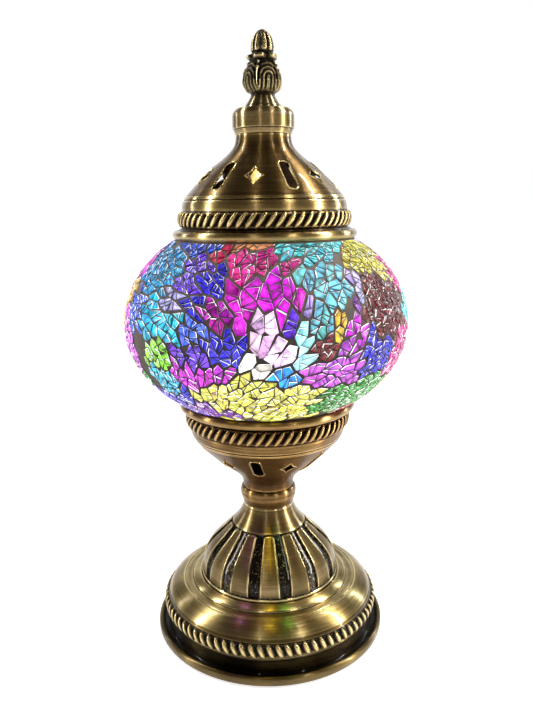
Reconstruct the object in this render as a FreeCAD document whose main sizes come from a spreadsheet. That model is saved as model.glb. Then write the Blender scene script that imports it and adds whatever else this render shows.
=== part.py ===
"""Mosaic glass table lamp: a spun-brass foot and fluted pedestal, a vented bowl that carries a glass
globe covered with mosaic, and a vented lid with a cast finial. Millimetres, +Z up, the origin is the
centre of the underside, and -Y is the front. One threaded tube clamps the foot, the pedestal and the
bowl together and carries the lamp holder. The bowl and the lid are the same stamping, one of them
upside down, so their parts are drawn once, in a frame whose height is counted from the rolled rim."""

import FreeCAD, Part
import math
import os
import random
import Sketcher

# ---------------------------------------------------------------- driving dimensions

DIMENSIONS = {
    # foot, spun from one sheet
    "base_wall": 1.0,
    "felt_radius": 61.5,
    "felt_thick": 2.0,
    "cover_thick": 1.3,
    "cover_high": 4.2,
    "rim_outside": 70.4,
    "rim_inside": 67.6,
    "rim_low": 0.7,
    "rim_high": 6.0,
    "channel_floor": 3.6,
    "drum_radius": 63.4,
    "foot_rope_low": 13.7,
    "foot_rope_high": 22.4,
    "shoulder_radius": 53.4,
    "groove_height": 31.0,
    "groove_radius": 48.3,
    "top_radius": 44.2,
    "top_height": 34.2,
    "cord_height": 9.3,
    "cord_bore": 3.1,
    "cord_hole": 4.2,
    # pedestal, cast
    "pedestal_wall": 3.0,
    "pedestal_radius": 41.7,
    "pedestal_top": 79.0,
    "flute_count": 14,
    "flute_angle": 9.4,
    "flute_depth": 1.3,
    # stamping shared by the bowl and the lid, heights counted from the rolled rim
    "sheet_wall": 0.9,
    "bead_centre": 49.6,
    "bead_radius": 2.6,
    "skirt_radius": 46.4,
    "rope_low": 4.1,
    "rope_high": 12.7,
    "neck_radius": 15.4,
    "neck_height": 49.5,
    "plate_height": 59.2,
    "vent_count": 6,
    "slot_long": 21.0,
    "slot_wide": 6.4,
    "star_long": 13.0,
    "star_wide": 10.0,
    "collar_radius": 17.0,
    "bowl_collar_end": 64.4,
    "lid_collar_end": 67.0,
    "bowl_rim": 143.4,
    "lid_rim": 241.6,
    "bowl_turn": -70.5,
    "lid_turn": -98.3,
    # globe and its mosaic
    "globe_middle": 191.5,
    "globe_radius": 81.6,
    "globe_up": 61.2,
    "globe_down": 58.2,
    "tile_thick": 1.6,
    "grout_thick": 1.2,
    "glass_thick": 2.5,
    "top_mouth": 44.6,
    "top_mouth_height": 246.5,
    "low_mouth": 42.0,
    "low_mouth_height": 137.0,
    "mosaic_edge": 51.4,
    "tile_gap": 0.5,
    # threaded tube, nuts and washers
    "tube_radius": 4.95,
    "tube_bore": 3.75,
    "tube_hole": 5.2,
    "tube_low": 24.0,
    "tube_high": 104.0,
    "nut_corner": 8.1,
    "nut_thick": 4.0,
    "base_washer_radius": 18.0,
    "base_washer_thick": 1.6,
    "small_washer_radius": 9.0,
    "small_washer_thick": 1.2,
    "stud_radius": 3.0,
    "stud_hole": 3.1,
    "lid_nut_corner": 5.8,
    # lamp holder
    "holder_radius": 13.8,
    "holder_wall": 1.6,
    "holder_low": 99.0,
    "holder_seam": 111.0,
    "holder_high": 140.5,
    "insert_thick": 6.5,
    "thread_shell": 7.15,
    "thread_wall": 0.35,
    # bulb
    "cap_radius": 6.8,
    "cap_wall": 0.4,
    "cap_low": 122.0,
    "cap_high": 142.0,
    "tip_low": 119.3,
    "bulb_radius": 22.5,
    "bulb_middle": 173.0,
    "bulb_wall": 0.8,
    # finial
    "finial_base": 10.4,
    "finial_high": 40.4,
}

doc = FreeCAD.newDocument("MosaicLamp")
sheet = doc.addObject("Spreadsheet::Sheet", "Sizes")
for row, (alias, number) in enumerate(DIMENSIONS.items(), start=1):
    sheet.set(f"A{row}", alias)
    sheet.set(f"B{row}", str(number))
    sheet.setAlias(f"B{row}", alias)
doc.recompute()


class Size:
    """A length, angle or number that knows its value and the sheet expression behind it."""

    def __init__(self, value, text):
        self.value = float(value)
        self.text = text

    def __add__(self, other):
        other = as_size(other)
        return Size(self.value + other.value, f"({self.text} + {other.text})")

    def __sub__(self, other):
        other = as_size(other)
        return Size(self.value - other.value, f"({self.text} - {other.text})")

    def __rsub__(self, other):
        return as_size(other) - self

    def __mul__(self, other):
        other = as_size(other)
        return Size(self.value * other.value, f"({self.text} * {other.text})")

    __radd__ = __add__
    __rmul__ = __mul__


def as_size(number):
    return number if isinstance(number, Size) else Size(number, f"{float(number):.4f}")


class Sizes:
    """Gives a cell of the sheet by its alias."""

    def __getattr__(self, alias):
        return Size(getattr(sheet, alias), f"Sizes.{alias}")


size = Sizes()
FULL_TURN = 360.0
UP = FreeCAD.Vector(0, 0, 1)
CENTRE = FreeCAD.Vector(0, 0, 0)

# ---------------------------------------------------------------- outlines

# Outlines run up the outside of a wall and then inwards, so the wall lies to the left of the way they
# go. An arc bulges to the right of it, OUT, or to the left, IN.
OUT = -1
IN = 1


def arc(radius, side):
    return (as_size(radius), side)


def at(point):
    return FreeCAD.Vector(as_size(point[0]).value, as_size(point[1]).value, 0)


def left_of(start, end):
    """The unit vector to the left of the way from start to end."""
    way = at(end) - at(start)
    return FreeCAD.Vector(-way.y, way.x, 0).normalize()


def offset_line(points, distance, end_normal=None):
    """The open line that lies at a distance to the left of another, corner for corner."""
    distance = as_size(distance)
    moved = []
    last = len(points) - 1
    for index, point in enumerate(points):
        before = left_of(points[index - 1], point) if index > 0 else None
        after = left_of(point, points[index + 1]) if index < last else None
        if before is None or after is None:
            normal = before or after
            if index == last and end_normal is not None:
                normal = end_normal
        else:
            normal = (before + after) * (1 / (1 + before.dot(after)))
        corner = [as_size(point[0]) + distance * normal.x, as_size(point[1]) + distance * normal.y]
        if len(point) == 3:
            radius, side = point[2]
            corner.append((radius + distance * side, side))
        moved.append(tuple(corner))
    return moved


def backwards(points):
    """The same open line, followed from its end to its start."""
    turned_round = []
    for index in range(len(points) - 1, -1, -1):
        corner = points[index][:2]
        edge = points[index - 1][2:] if index > 0 else ()
        if edge:
            corner = corner + ((edge[0][0], -edge[0][1]),)
        turned_round.append(corner)
    return turned_round


def wall_outline(points, wall, end_normal=None):
    """The closed outline of a wall whose outer side is the given open line."""
    return list(points) + backwards(offset_line(points, wall, end_normal))


def box_outline(inner, outer, low, high):
    return [(inner, low), (outer, low), (outer, high), (inner, high)]


# ---------------------------------------------------------------- sketches and features

nodes = []


def new_body(label):
    body = doc.addObject("PartDesign::Body", label)
    body.Label = label
    nodes.append(body)
    return body


def new_sketch(body, name, role, offset=None):
    """An empty sketch on one of the body's own origin planes."""
    sketch = body.newObject("Sketcher::SketchObject", f"{body.Label}_{name}")
    plane = next(part for part in body.Origin.OriginFeatures if part.Role == role)
    sketch.AttachmentSupport = [(plane, "")]
    sketch.MapMode = "FlatFace"
    if offset is not None:
        sketch.AttachmentOffset = offset
    return sketch


def tie(sketch, kind, references, length):
    """Adds a constraint whose value follows the sheet."""
    index = sketch.addConstraint(Sketcher.Constraint(kind, *references, length.value))
    sketch.setExpression(f"Constraints[{index}]", length.text)


def draw_outline(sketch, points):
    """Draws a closed outline whose corners and radii follow the sheet."""
    edges = []
    count = len(points)
    for index, point in enumerate(points):
        start = at(point)
        end = at(points[(index + 1) % count])
        first = 1
        if len(point) == 3:
            radius, side = point[2]
            half = (end - start).Length / 2
            rise = radius.value - math.sqrt(max(radius.value ** 2 - half ** 2, 0.0))
            middle = (start + end) * 0.5 + left_of(point, points[(index + 1) % count]) * (side * rise)
            edge = sketch.addGeometry(Part.Arc(start, middle, end), False)
            drawn_start = sketch.getPoint(edge, 1)
            first = 1 if (drawn_start - start).Length < (drawn_start - end).Length else 2
            if radius.value > 1.001 * half:
                tie(sketch, "Radius", (edge,), radius)
            elif abs(end.y - start.y) < 1e-6:
                tie(sketch, "DistanceY", (-1, 1, edge, 3), as_size(point[1]))
            else:
                tie(sketch, "DistanceX", (-1, 1, edge, 3), as_size(point[0]))
        else:
            edge = sketch.addGeometry(Part.LineSegment(start, end), False)
        edges.append((edge, first))
        tie(sketch, "DistanceX", (-1, 1, edge, first), as_size(point[0]))
        tie(sketch, "DistanceY", (-1, 1, edge, first), as_size(point[1]))
    for index, (edge, first) in enumerate(edges):
        following, following_first = edges[(index + 1) % count]
        joined = (edge, 3 - first, following, following_first)
        sketch.addConstraint(Sketcher.Constraint("Coincident", *joined))


def turned(body, name, points, cut=False, angle=FULL_TURN):
    """Turns an outline (radius, height) about the body's upright axis, as material or as a cut."""
    sketch = new_sketch(body, f"{name}_outline", "XZ_Plane")
    draw_outline(sketch, points)
    kind = "PartDesign::Groove" if cut else "PartDesign::Revolution"
    feature = body.newObject(kind, f"{body.Label}_{name}")
    feature.Profile = sketch
    feature.ReferenceAxis = (sketch, ["V_Axis"])
    if isinstance(angle, Size):
        feature.Midplane = True
        feature.setExpression("Angle", angle.text)
    else:
        feature.Angle = angle
    return feature


def around(body, feature, count):
    """Repeats a feature evenly around the body's upright axis."""
    pattern = body.newObject("PartDesign::PolarPattern", f"{feature.Name}_all")
    pattern.Originals = [feature]
    upright = next(part for part in body.Origin.OriginFeatures if part.Role == "Z_Axis")
    pattern.Axis = (upright, [""])
    pattern.Angle = FULL_TURN
    pattern.setExpression("Occurrences", as_size(count).text)
    body.Tip = pattern
    return pattern


def must_cut(body, before, name):
    """Stops the build when a cut has removed nothing."""
    doc.recompute()
    if body.Shape.Volume > before - 1e-3:
        raise RuntimeError(f"{body.Label}: {name} removed nothing")


def turned_part(label, points):
    body = new_body(label)
    turned(body, "turned", points)
    return body


def placed(body, height, sign=1, turn=0.0):
    """Stands a part drawn from the rim up at a height, upside down when the sign is -1."""
    flip = FreeCAD.Rotation(FreeCAD.Vector(1, 0, 0), 0 if sign > 0 else 180)
    turn_to = FreeCAD.Rotation(UP, as_size(turn).value)
    body.Placement = FreeCAD.Placement(UP * as_size(height).value, turn_to * flip)
    body.setExpression("Placement.Base.z", as_size(height).text)
    return body


def hex_nut(label, corner, hole, low, thick):
    """A hexagon nut, with its thread drawn as a plain bore."""
    prism = doc.addObject("Part::Prism", f"{label}_hexagon")
    prism.Polygon = 6
    bore = doc.addObject("Part::Cylinder", f"{label}_bore")
    for solid, property_name, radius in ((prism, "Circumradius", corner), (bore, "Radius", hole)):
        solid.setExpression(property_name, as_size(radius).text)
        solid.setExpression("Height", as_size(thick).text)
    nut = doc.addObject("Part::Cut", label)
    nut.Base = prism
    nut.Tool = bore
    nut.Label = label
    nut.setExpression("Placement.Base.z", as_size(low).text)
    nodes.append(nut)
    return nut


def shape_part(label, shape):
    """A part whose shape comes straight from Part, for what sketches can't hold."""
    feature = doc.addObject("Part::Feature", label)
    feature.Shape = shape
    feature.Label = label
    feature.Placement = FreeCAD.Placement()
    nodes.append(feature)
    return feature


# ---------------------------------------------------------------- foot


def make_felt_pad():
    """The pad that the lamp stands on."""
    pad = doc.addObject("Part::Cylinder", "felt_pad")
    pad.Label = "felt_pad"
    pad.setExpression("Radius", size.felt_radius.text)
    pad.setExpression("Height", size.felt_thick.text)
    nodes.append(pad)


def make_bottom_cover():
    """A pressed steel disc whose turned-up edge grips the inside of the foot's drum."""
    edge = size.drum_radius - size.base_wall
    low = size.felt_thick
    flange = edge - size.cover_thick
    floor = low + size.cover_thick
    turned_part("bottom_cover", [
        (0, low), (edge, low), (edge, size.cover_high),
        (flange, size.cover_high), (flange, floor), (0, floor),
    ])


def make_base_shell():
    """The spun foot: rolled rim, channel, drum with its rope band, shoulder, groove and top ring."""
    lip = (size.rim_outside - size.rim_inside) * 0.5
    floor = size.channel_floor
    under = floor - size.base_wall
    drum = size.drum_radius
    groove = size.groove_height
    outside = [
        (drum, floor),
        (drum, size.foot_rope_low, arc(5.0, OUT)),
        (drum, size.foot_rope_high, arc(13.0, OUT)),
        (size.shoulder_radius, groove),
        (size.groove_radius, groove),
        (size.groove_radius, groove + 1.4, arc(4.5, OUT)),
        (size.top_radius, size.top_height),
        (size.tube_hole, size.top_height),
    ]
    inside = backwards(offset_line(outside, size.base_wall))
    rim = [
        (drum - size.base_wall, under),
        (size.rim_inside, under),
        (size.rim_inside, size.rim_low + lip, arc(lip, OUT)),
        (size.rim_outside, size.rim_low + lip),
        (size.rim_outside, size.rim_high - lip, arc(lip, OUT)),
        (size.rim_inside, size.rim_high - lip),
        (size.rim_inside, floor),
    ]
    body = turned_part("base_shell", outside + inside[:-1] + rim)
    doc.recompute()
    before = body.Shape.Volume
    sketch = new_sketch(body, "cord_hole_outline", "XZ_Plane")
    circle = sketch.addGeometry(Part.Circle(FreeCAD.Vector(0, size.cord_height.value, 0), UP, 4.0), False)
    tie(sketch, "Radius", (circle,), size.cord_hole)
    tie(sketch, "DistanceX", (-1, 1, circle, 3), as_size(0))
    tie(sketch, "DistanceY", (-1, 1, circle, 3), size.cord_height)
    hole = body.newObject("PartDesign::Pocket", "cord_hole")
    hole.Profile = sketch
    hole.Type = "Length"
    hole.setExpression("Length", size.rim_outside.text)
    must_cut(body, before, "cord hole")


def make_cord_grommet():
    """A rubber grommet in the back of the drum, drawn upright and laid along +Y."""
    wall = size.base_wall
    bore = size.cord_bore
    waist = size.cord_hole - 0.1
    inner_flange, outer_flange = 4.9, 4.7
    body = turned_part("cord_grommet", [
        (bore, -2.2), (inner_flange, -2.2), (inner_flange, -0.25), (waist, -0.25), (waist, wall + 0.05),
        (outer_flange, wall + 0.05), (outer_flange, wall + 1.0), (outer_flange - 0.7, wall + 1.8),
        (bore, wall + 1.8),
    ])
    seat = FreeCAD.Vector(0, (size.drum_radius - size.base_wall).value, size.cord_height.value)
    body.Placement = FreeCAD.Placement(seat, FreeCAD.Rotation(FreeCAD.Vector(1, 0, 0), -90))


# ---------------------------------------------------------------- pedestal


def make_pedestal():
    """A cast bell on the foot, with recessed flutes and a flared plain neck."""
    foot = size.pedestal_radius
    curve = [
        (foot, 38.0, arc(22.2, OUT)),
        (foot - 7.9, 55.0),
        (foot - 15.9, 63.0, arc(30.0, IN)),
        (foot - 26.5, size.pedestal_top),
    ]
    outside = [(foot, size.top_height)] + curve + [(size.tube_hole, size.pedestal_top)]
    body = turned_part("pedestal", wall_outline(outside, size.pedestal_wall))
    doc.recompute()
    before = body.Shape.Volume
    fluted = curve[:2] + [(foot - 18.6, 65.9)]
    bottom = offset_line(fluted, size.flute_depth)
    flute = turned(body, "flute", bottom + backwards(offset_line(fluted, -3)), True, size.flute_angle)
    around(body, flute, size.flute_count)
    must_cut(body, before, "flute")
    body.Placement = FreeCAD.Placement(CENTRE, FreeCAD.Rotation(UP, -90 + 180 / size.flute_count.value))


# ---------------------------------------------------------------- bowl and lid


def vent(body, name, points, centre, slope, turn):
    """Cuts an opening through the sloping wall and repeats it around the stamping."""
    doc.recompute()
    before = body.Shape.Volume
    tilt = FreeCAD.Rotation(FreeCAD.Vector(0, 1, 0), slope)
    outwards = tilt.multVec(UP)
    place = FreeCAD.Placement(FreeCAD.Vector(centre[0], 0, centre[1]) + outwards * 4, tilt)
    turned_place = FreeCAD.Placement(CENTRE, FreeCAD.Rotation(UP, turn)) * place
    sketch = new_sketch(body, f"{name}_outline", "XY_Plane", turned_place)
    draw_outline(sketch, points)
    pocket = body.newObject("PartDesign::Pocket", f"{body.Label}_{name}")
    pocket.Profile = sketch
    pocket.Type = "Length"
    pocket.Length = 11
    around(body, pocket, size.vent_count)
    must_cut(body, before, name)


def slot_outline():
    """A long slot with round ends, along the slope."""
    long = size.slot_long * 0.5
    wide = size.slot_wide * 0.5
    straight = long - wide
    return [
        (straight, -1 * wide, arc(wide, OUT)),
        (straight, wide),
        (-1 * straight, wide, arc(wide, OUT)),
        (-1 * straight, -1 * wide),
    ]


def star_outline():
    """A four-pointed star whose sides curve inwards."""
    long = size.star_long * 0.5
    wide = size.star_wide * 0.5
    tips = [(long, 0), (0, wide), (-1 * long, 0), (0, -1 * wide)]
    return [tip + (arc(11.0, IN),) for tip in tips]


def stamping(label, rim_height, sign, turn):
    """The vented stamping: rolled rim, skirt with a rope band, dome, neck and end plate."""
    skirt = size.skirt_radius
    neck = size.neck_radius
    outside = [
        (skirt, 2.0),
        (skirt, size.rope_low, arc(5.0, OUT)),
        (skirt, size.rope_high),
        (skirt - 0.5, 16.5, arc(4.0, OUT)),
        (skirt - 2.6, 20.3, arc(40.0, OUT)),
        (skirt - 19.6, 37.5, arc(22.0, IN)),
        (neck, size.neck_height),
        (neck - 0.5, 53.0),
        (neck - 0.5, size.plate_height),
        (size.tube_hole, size.plate_height),
    ]
    body = turned_part(label, wall_outline(outside, size.sheet_wall))
    bead = size.bead_radius
    centre = size.bead_centre
    turned(body, "rim", [(centre - bead, 0, arc(bead, OUT)), (centre + bead, 0, arc(bead, OUT))])
    turned(body, "rim_web", [(skirt - size.sheet_wall, 0.9), (centre - 1.2, 0.9), (centre - 1.2, 2.1),
                             (skirt - size.sheet_wall, 2.1)])
    vent(body, "star", star_outline(), (34.5, 32.2), 45.0, 0.0)
    vent(body, "slot", slot_outline(), (34.0, 32.0), 45.5, 180 / size.vent_count.value)
    return placed(body, rim_height, sign, turn)


def collar(label, rim_height, sign, end, hole):
    """A turned ring over the neck of the stamping, solid beyond its end plate."""
    plate = size.plate_height
    radius = size.collar_radius
    inner = size.neck_radius - 0.4
    body = turned_part(label, [
        (inner, plate), (inner, 53.5), (radius - 1.2, 53.5, arc(14.0, OUT)), (radius, 58.0),
        (radius, end - 3.2, arc(4.5, OUT)), (radius - 1.7, end), (hole, end), (hole, plate),
    ])
    return placed(body, rim_height, sign)


def make_bowl():
    """The stamping upside down, with the collar that stands on the pedestal."""
    stamping("bowl", size.bowl_rim, -1, size.bowl_turn)
    collar("bowl_collar", size.bowl_rim, -1, size.bowl_collar_end, size.tube_hole)


def make_lid():
    """The stamping the right way up, with the collar that the finial stands on."""
    stamping("lid_dome", size.lid_rim, 1, size.lid_turn)
    collar("lid_collar", size.lid_rim, 1, size.lid_collar_end, size.stud_hole)


def make_lid_spring():
    """A spring-steel spider clamped under the neck: three legs that steady the lid in the mouth."""
    body = new_body("lid_spring")
    top = size.plate_height - size.sheet_wall
    thick = 0.6
    turned(body, "hub", box_outline(size.stud_hole, 12.0, top - thick, top))
    leg = [
        (11.0, top), (12.6, top - 1.6), (12.6, 46.0), (38.9, 13.0), (41.6, 6.0), (41.6, -1.0), (38.8, -8.0),
    ]
    sketch = new_sketch(body, "leg_outline", "XZ_Plane")
    draw_outline(sketch, backwards(leg) + offset_line(leg, -thick))
    pad = body.newObject("PartDesign::Pad", "lid_spring_leg")
    pad.Profile = sketch
    pad.Midplane = True
    pad.Length = 7.0
    around(body, pad, 3)
    return placed(body, size.lid_rim)


# ---------------------------------------------------------------- globe and mosaic


def globe_point(depth, angle):
    """A point of the section at a depth below the mosaic's face, angle counted up from the equator.
    The upper half of the globe is a little taller than the lower one."""
    rise = size.globe_up.value if angle >= 0 else size.globe_down.value
    across = (size.globe_radius.value - depth) * math.cos(math.radians(angle))
    up = (rise - depth) * math.sin(math.radians(angle))
    return FreeCAD.Vector(across, 0, size.globe_middle.value + up)


def globe_angle(depth, radius, sign):
    """The section angle at which the surface at that depth has that radius."""
    return sign * math.degrees(math.acos(radius / (size.globe_radius.value - depth)))


def globe_curve(depth, low, high):
    """The section of one surface of the globe between two angles, as elliptical arcs."""
    stops = [low] + [0.0] * (low < 0 < high) + [high]
    edges = []
    for start, end in zip(stops, stops[1:]):
        rise = size.globe_up.value if end > 0 else size.globe_down.value
        ellipse = Part.Ellipse(CENTRE, size.globe_radius.value - depth, rise - depth)
        piece = Part.ArcOfEllipse(ellipse, math.radians(start), math.radians(end)).toShape()
        piece.rotate(CENTRE, FreeCAD.Vector(1, 0, 0), 90)
        piece.translate(UP * size.globe_middle.value)
        edges.append(piece)
    return edges


def turned_section(edges, angle=FULL_TURN, start=0.0):
    """A solid turned about the lamp's axis from the edges that bound its section."""
    face = Part.Face(Part.Wire(Part.__sortEdges__(edges)))
    face.rotate(CENTRE, UP, start)
    solid = face.revolve(CENTRE, UP, angle)
    return solid if solid.ShapeType == "Solid" else Part.Solid(solid.Shells[0])


def chain(points):
    return [Part.makeLine(start, end) for start, end in zip(points, points[1:])]


def layer_section(outer_depth, inner_depth, low, high):
    """The section of a layer of the globe, its ends square to the surface."""
    edges = globe_curve(outer_depth, low, high) + globe_curve(inner_depth, low, high)
    for angle in (low, high):
        edges += chain([globe_point(outer_depth, angle), globe_point(inner_depth, angle)])
    return edges


def make_glass_globe():
    """Blown glass with two short open necks, one in the bowl and one in the lid."""
    outer = size.tile_thick.value + size.grout_thick.value
    inner = outer + size.glass_thick.value
    wall = size.glass_thick.value
    low_mouth = (-1, size.low_mouth.value, size.low_mouth_height.value)
    top_mouth = (1, size.top_mouth.value, size.top_mouth_height.value)
    outside, inside, necks = [], [], []
    for sign, radius, height in (low_mouth, top_mouth):
        outside.append(globe_angle(outer, radius, sign))
        inside.append(globe_angle(inner, radius - wall, sign))
        necks += chain([
            globe_point(outer, outside[-1]), FreeCAD.Vector(radius, 0, height),
            FreeCAD.Vector(radius - wall, 0, height), globe_point(inner, inside[-1]),
        ])
    edges = globe_curve(outer, *outside) + globe_curve(inner, *inside) + necks
    shape_part("glass_globe", turned_section(edges))


def make_grout_layer():
    """The cement that beds the mosaic, from rim to rim."""
    outer = size.tile_thick.value
    inner = outer + size.grout_thick.value
    edge = size.mosaic_edge.value - 2.2
    low = globe_angle(outer, edge, -1)
    high = globe_angle(outer, edge, 1)
    shape_part("grout_layer", turned_section(layer_section(outer, inner, low, high)))


# Where each patch of one colour of glass has its middle: degrees to the right of the front, height.
PATCHES = [
    ("tiles_deep_blue", (-39, 237), (-22, 224), (-14, 191), (-40, 160), (7, 178), (44, 183), (-104, 196),
     (158, 226), (-112, 240)),
    ("tiles_turquoise", (-50, 227), (22, 237), (24, 222), (-42, 203), (-43, 171), (19, 204), (-134, 188),
     (146, 180), (82, 197)),
    ("tiles_indigo", (-31, 227), (-60, 205), (-27, 199), (-170, 182), (102, 180), (-64, 152)),
    ("tiles_violet", (-28, 188), (-25, 176), (-28, 153), (26, 179), (33, 196), (17, 212), (-68, 186),
     (-152, 208), (126, 228), (-150, 150)),
    ("tiles_magenta", (-4, 231), (0, 215), (-17, 207), (66, 180), (-92, 222), (168, 196), (84, 224)),
    ("tiles_orange", (-6, 239), (-80, 205), (-140, 228), (140, 208)),
    ("tiles_yellow", (59, 231), (-2, 162), (26, 203), (-112, 170), (-176, 218), (88, 162)),
    ("tiles_red", (-21, 236), (51, 207), (21, 191), (-122, 214), (124, 166), (64, 151)),
    ("tiles_green", (-43, 184), (39, 159), (-82, 168), (172, 162), (104, 212)),
    ("tiles_clear", (1, 196), (12, 194), (-5, 181), (-148, 168), (124, 194), (98, 240)),
]


def patch_colour(turn, height):
    """The glass colour of the patch whose middle is nearest."""
    best = None
    for label, *middles in PATCHES:
        for middle_turn, middle_height in middles:
            around_way = (turn - middle_turn + 180) % 360 - 180
            gap = math.hypot(math.radians(around_way) * 78, height - middle_height)
            if best is None or gap < best[0]:
                best = (gap, label)
    return best[1]


def make_tiles():
    """The glass chips, laid in uneven courses. Chips of one colour share a part."""
    rng = random.Random(7)
    outer, inner = 0.0, size.tile_thick.value - 0.02
    low = globe_angle(0.0, size.mosaic_edge.value, -1)
    high = globe_angle(0.0, size.mosaic_edge.value, 1)
    courses = 11
    gap = size.tile_gap.value
    radius = size.globe_radius.value
    gap_angle = math.degrees(gap / radius)
    chips = {}
    for course in range(courses):
        start = low + (high - low) * course / courses
        end = low + (high - low) * (course + 1) / courses - gap_angle * 1.3
        section = layer_section(outer, inner, start, end)
        middle = (start + end) / 2
        girth = math.cos(math.radians(middle))
        count = round(36 * girth)
        stops = [(number + rng.uniform(-0.24, 0.24)) * FULL_TURN / count for number in range(count)]
        stops.append(stops[0] + FULL_TURN)
        height = globe_point(0.0, middle).z
        for first, second in zip(stops, stops[1:]):
            sweep = second - first - gap_angle / girth
            chip = turned_section(section, sweep, first)
            label = patch_colour(first + sweep / 2 + 90, height)
            chips.setdefault(label, []).append(chip)
    for label in sorted(chips):
        shape_part(label, Part.makeCompound(chips[label]))


def make_globe_gasket():
    """A rubber ring that seats the globe's lower neck in the bowl."""
    neck = size.low_mouth
    seat = size.low_mouth_height
    wall = size.skirt_radius - size.sheet_wall - 0.3
    turned_part("globe_gasket", [
        (neck - 2.4, seat - 2.5), (wall, seat - 2.5), (wall, seat + 4.5),
        (neck + 0.2, seat + 4.5), (neck + 0.2, seat), (neck - 2.4, seat),
    ])


# ---------------------------------------------------------------- threaded tube and fasteners


def ring(label, inner, outer, low, thick):
    return turned_part(label, box_outline(inner, outer, low, low + thick))


def make_clamping_parts():
    """The tube through the lamp, and the nuts and washers that pull its parts together."""
    ring("lamp_tube", size.tube_bore, size.tube_radius, size.tube_low, size.tube_high - size.tube_low)
    roof = size.top_height - size.base_wall
    base_washer_low = roof - size.base_washer_thick
    ring("base_washer", size.tube_hole, size.base_washer_radius, base_washer_low, size.base_washer_thick)
    nut_bore = size.tube_radius + 0.05
    hex_nut("base_nut", size.nut_corner, nut_bore, base_washer_low - size.nut_thick, size.nut_thick)
    floor = size.bowl_rim - size.plate_height + size.sheet_wall
    ring("bowl_washer", size.tube_hole, size.small_washer_radius, floor, size.small_washer_thick)
    hex_nut("bowl_nut", size.nut_corner, nut_bore, floor + size.small_washer_thick, size.nut_thick)


def make_lid_fasteners():
    """The stud that the finial screws on, with the washer and nut inside the neck."""
    under = size.lid_rim + size.plate_height - size.sheet_wall - 0.6
    washer_low = under - size.small_washer_thick
    ring("lid_washer", size.stud_hole, size.small_washer_radius, washer_low, size.small_washer_thick)
    nut_low = washer_low - size.nut_thick
    hex_nut("lid_nut", size.lid_nut_corner, size.stud_radius + 0.05, nut_low, size.nut_thick)
    stud = doc.addObject("Part::Cylinder", "lid_stud")
    stud.Label = "lid_stud"
    stud.setExpression("Radius", size.stud_radius.text)
    stud.setExpression("Height", (size.lid_rim + size.lid_collar_end + 10 - nut_low).text)
    stud.setExpression("Placement.Base.z", (nut_low - 2).text)
    nodes.append(stud)


# ---------------------------------------------------------------- lamp holder


def make_lamp_holder():
    """A two-part holder screwed on the tube, with its insert, screw shell, contact and terminals."""
    radius = size.holder_radius
    wall = size.holder_wall
    low, seam, high = size.holder_low, size.holder_seam, size.holder_high
    entry = size.tube_radius + 0.05
    turned_part("holder_cap", [
        (entry, low), (8.0, low), (radius, low + 5.0), (radius, seam), (radius - wall, seam),
        (radius - wall, low + 6.0), (8.0, low + 2.4), (entry, low + 2.4),
    ])
    turned_part("holder_skirt", [
        (radius - 2 * wall, seam), (radius, seam), (radius, high - 1.0), (radius - 1.0, high),
        (radius - 3.2, high), (radius - 3.2, high - 1.4), (radius - wall, high - 1.4),
        (radius - wall, seam + 1.2), (radius - 2 * wall, seam + 1.2),
    ])
    insert_low = seam + 1.2
    ring("holder_insert", 2.0, radius - wall - 0.1, insert_low, size.insert_thick - 1.0)
    shell_low = insert_low + size.insert_thick - 1.0
    shell = size.thread_shell
    turned_part("screw_shell", [
        (3.5, shell_low), (shell + size.thread_wall, shell_low), (shell + size.thread_wall, high - 3.0),
        (shell, high - 3.0), (shell, shell_low + 0.4), (3.5, shell_low + 0.4),
    ])
    make_centre_contact(insert_low)
    make_terminal_screws(low + 7.0)


def make_centre_contact(low):
    """A phosphor-bronze tongue that bears on the tip of the bulb."""
    body = new_body("centre_contact")
    sketch = new_sketch(body, "outline", "XZ_Plane")
    reach = size.tip_low - 0.3
    tongue = [(0.6, low - 1.0), (0.6, reach - 0.9), (-1.6, reach)]
    draw_outline(sketch, tongue + backwards(offset_line(tongue, 0.4, FreeCAD.Vector(-0.3, -1.0, 0))))
    pad = body.newObject("PartDesign::Pad", "centre_contact_tongue")
    pad.Profile = sketch
    pad.Midplane = True
    pad.Length = 2.6


def make_terminal_screws(height):
    """Two screws in the holder's cap that grip the ends of the lead."""
    screws = []
    for side in (-1, 1):
        shank = Part.makeCylinder(1.4, 5.0, FreeCAD.Vector(side * 8.6, 0, height.value))
        head = Part.makeCylinder(2.4, 1.4, FreeCAD.Vector(side * 8.6, 0, height.value - 1.4))
        slot = Part.makeBox(6.0, 0.6, 0.7, FreeCAD.Vector(side * 8.6 - 3, -0.3, height.value - 1.4))
        screws.append(shank.fuse(head).cut(slot))
    shape_part("terminal_screws", Part.makeCompound(screws))


# ---------------------------------------------------------------- bulb


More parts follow.
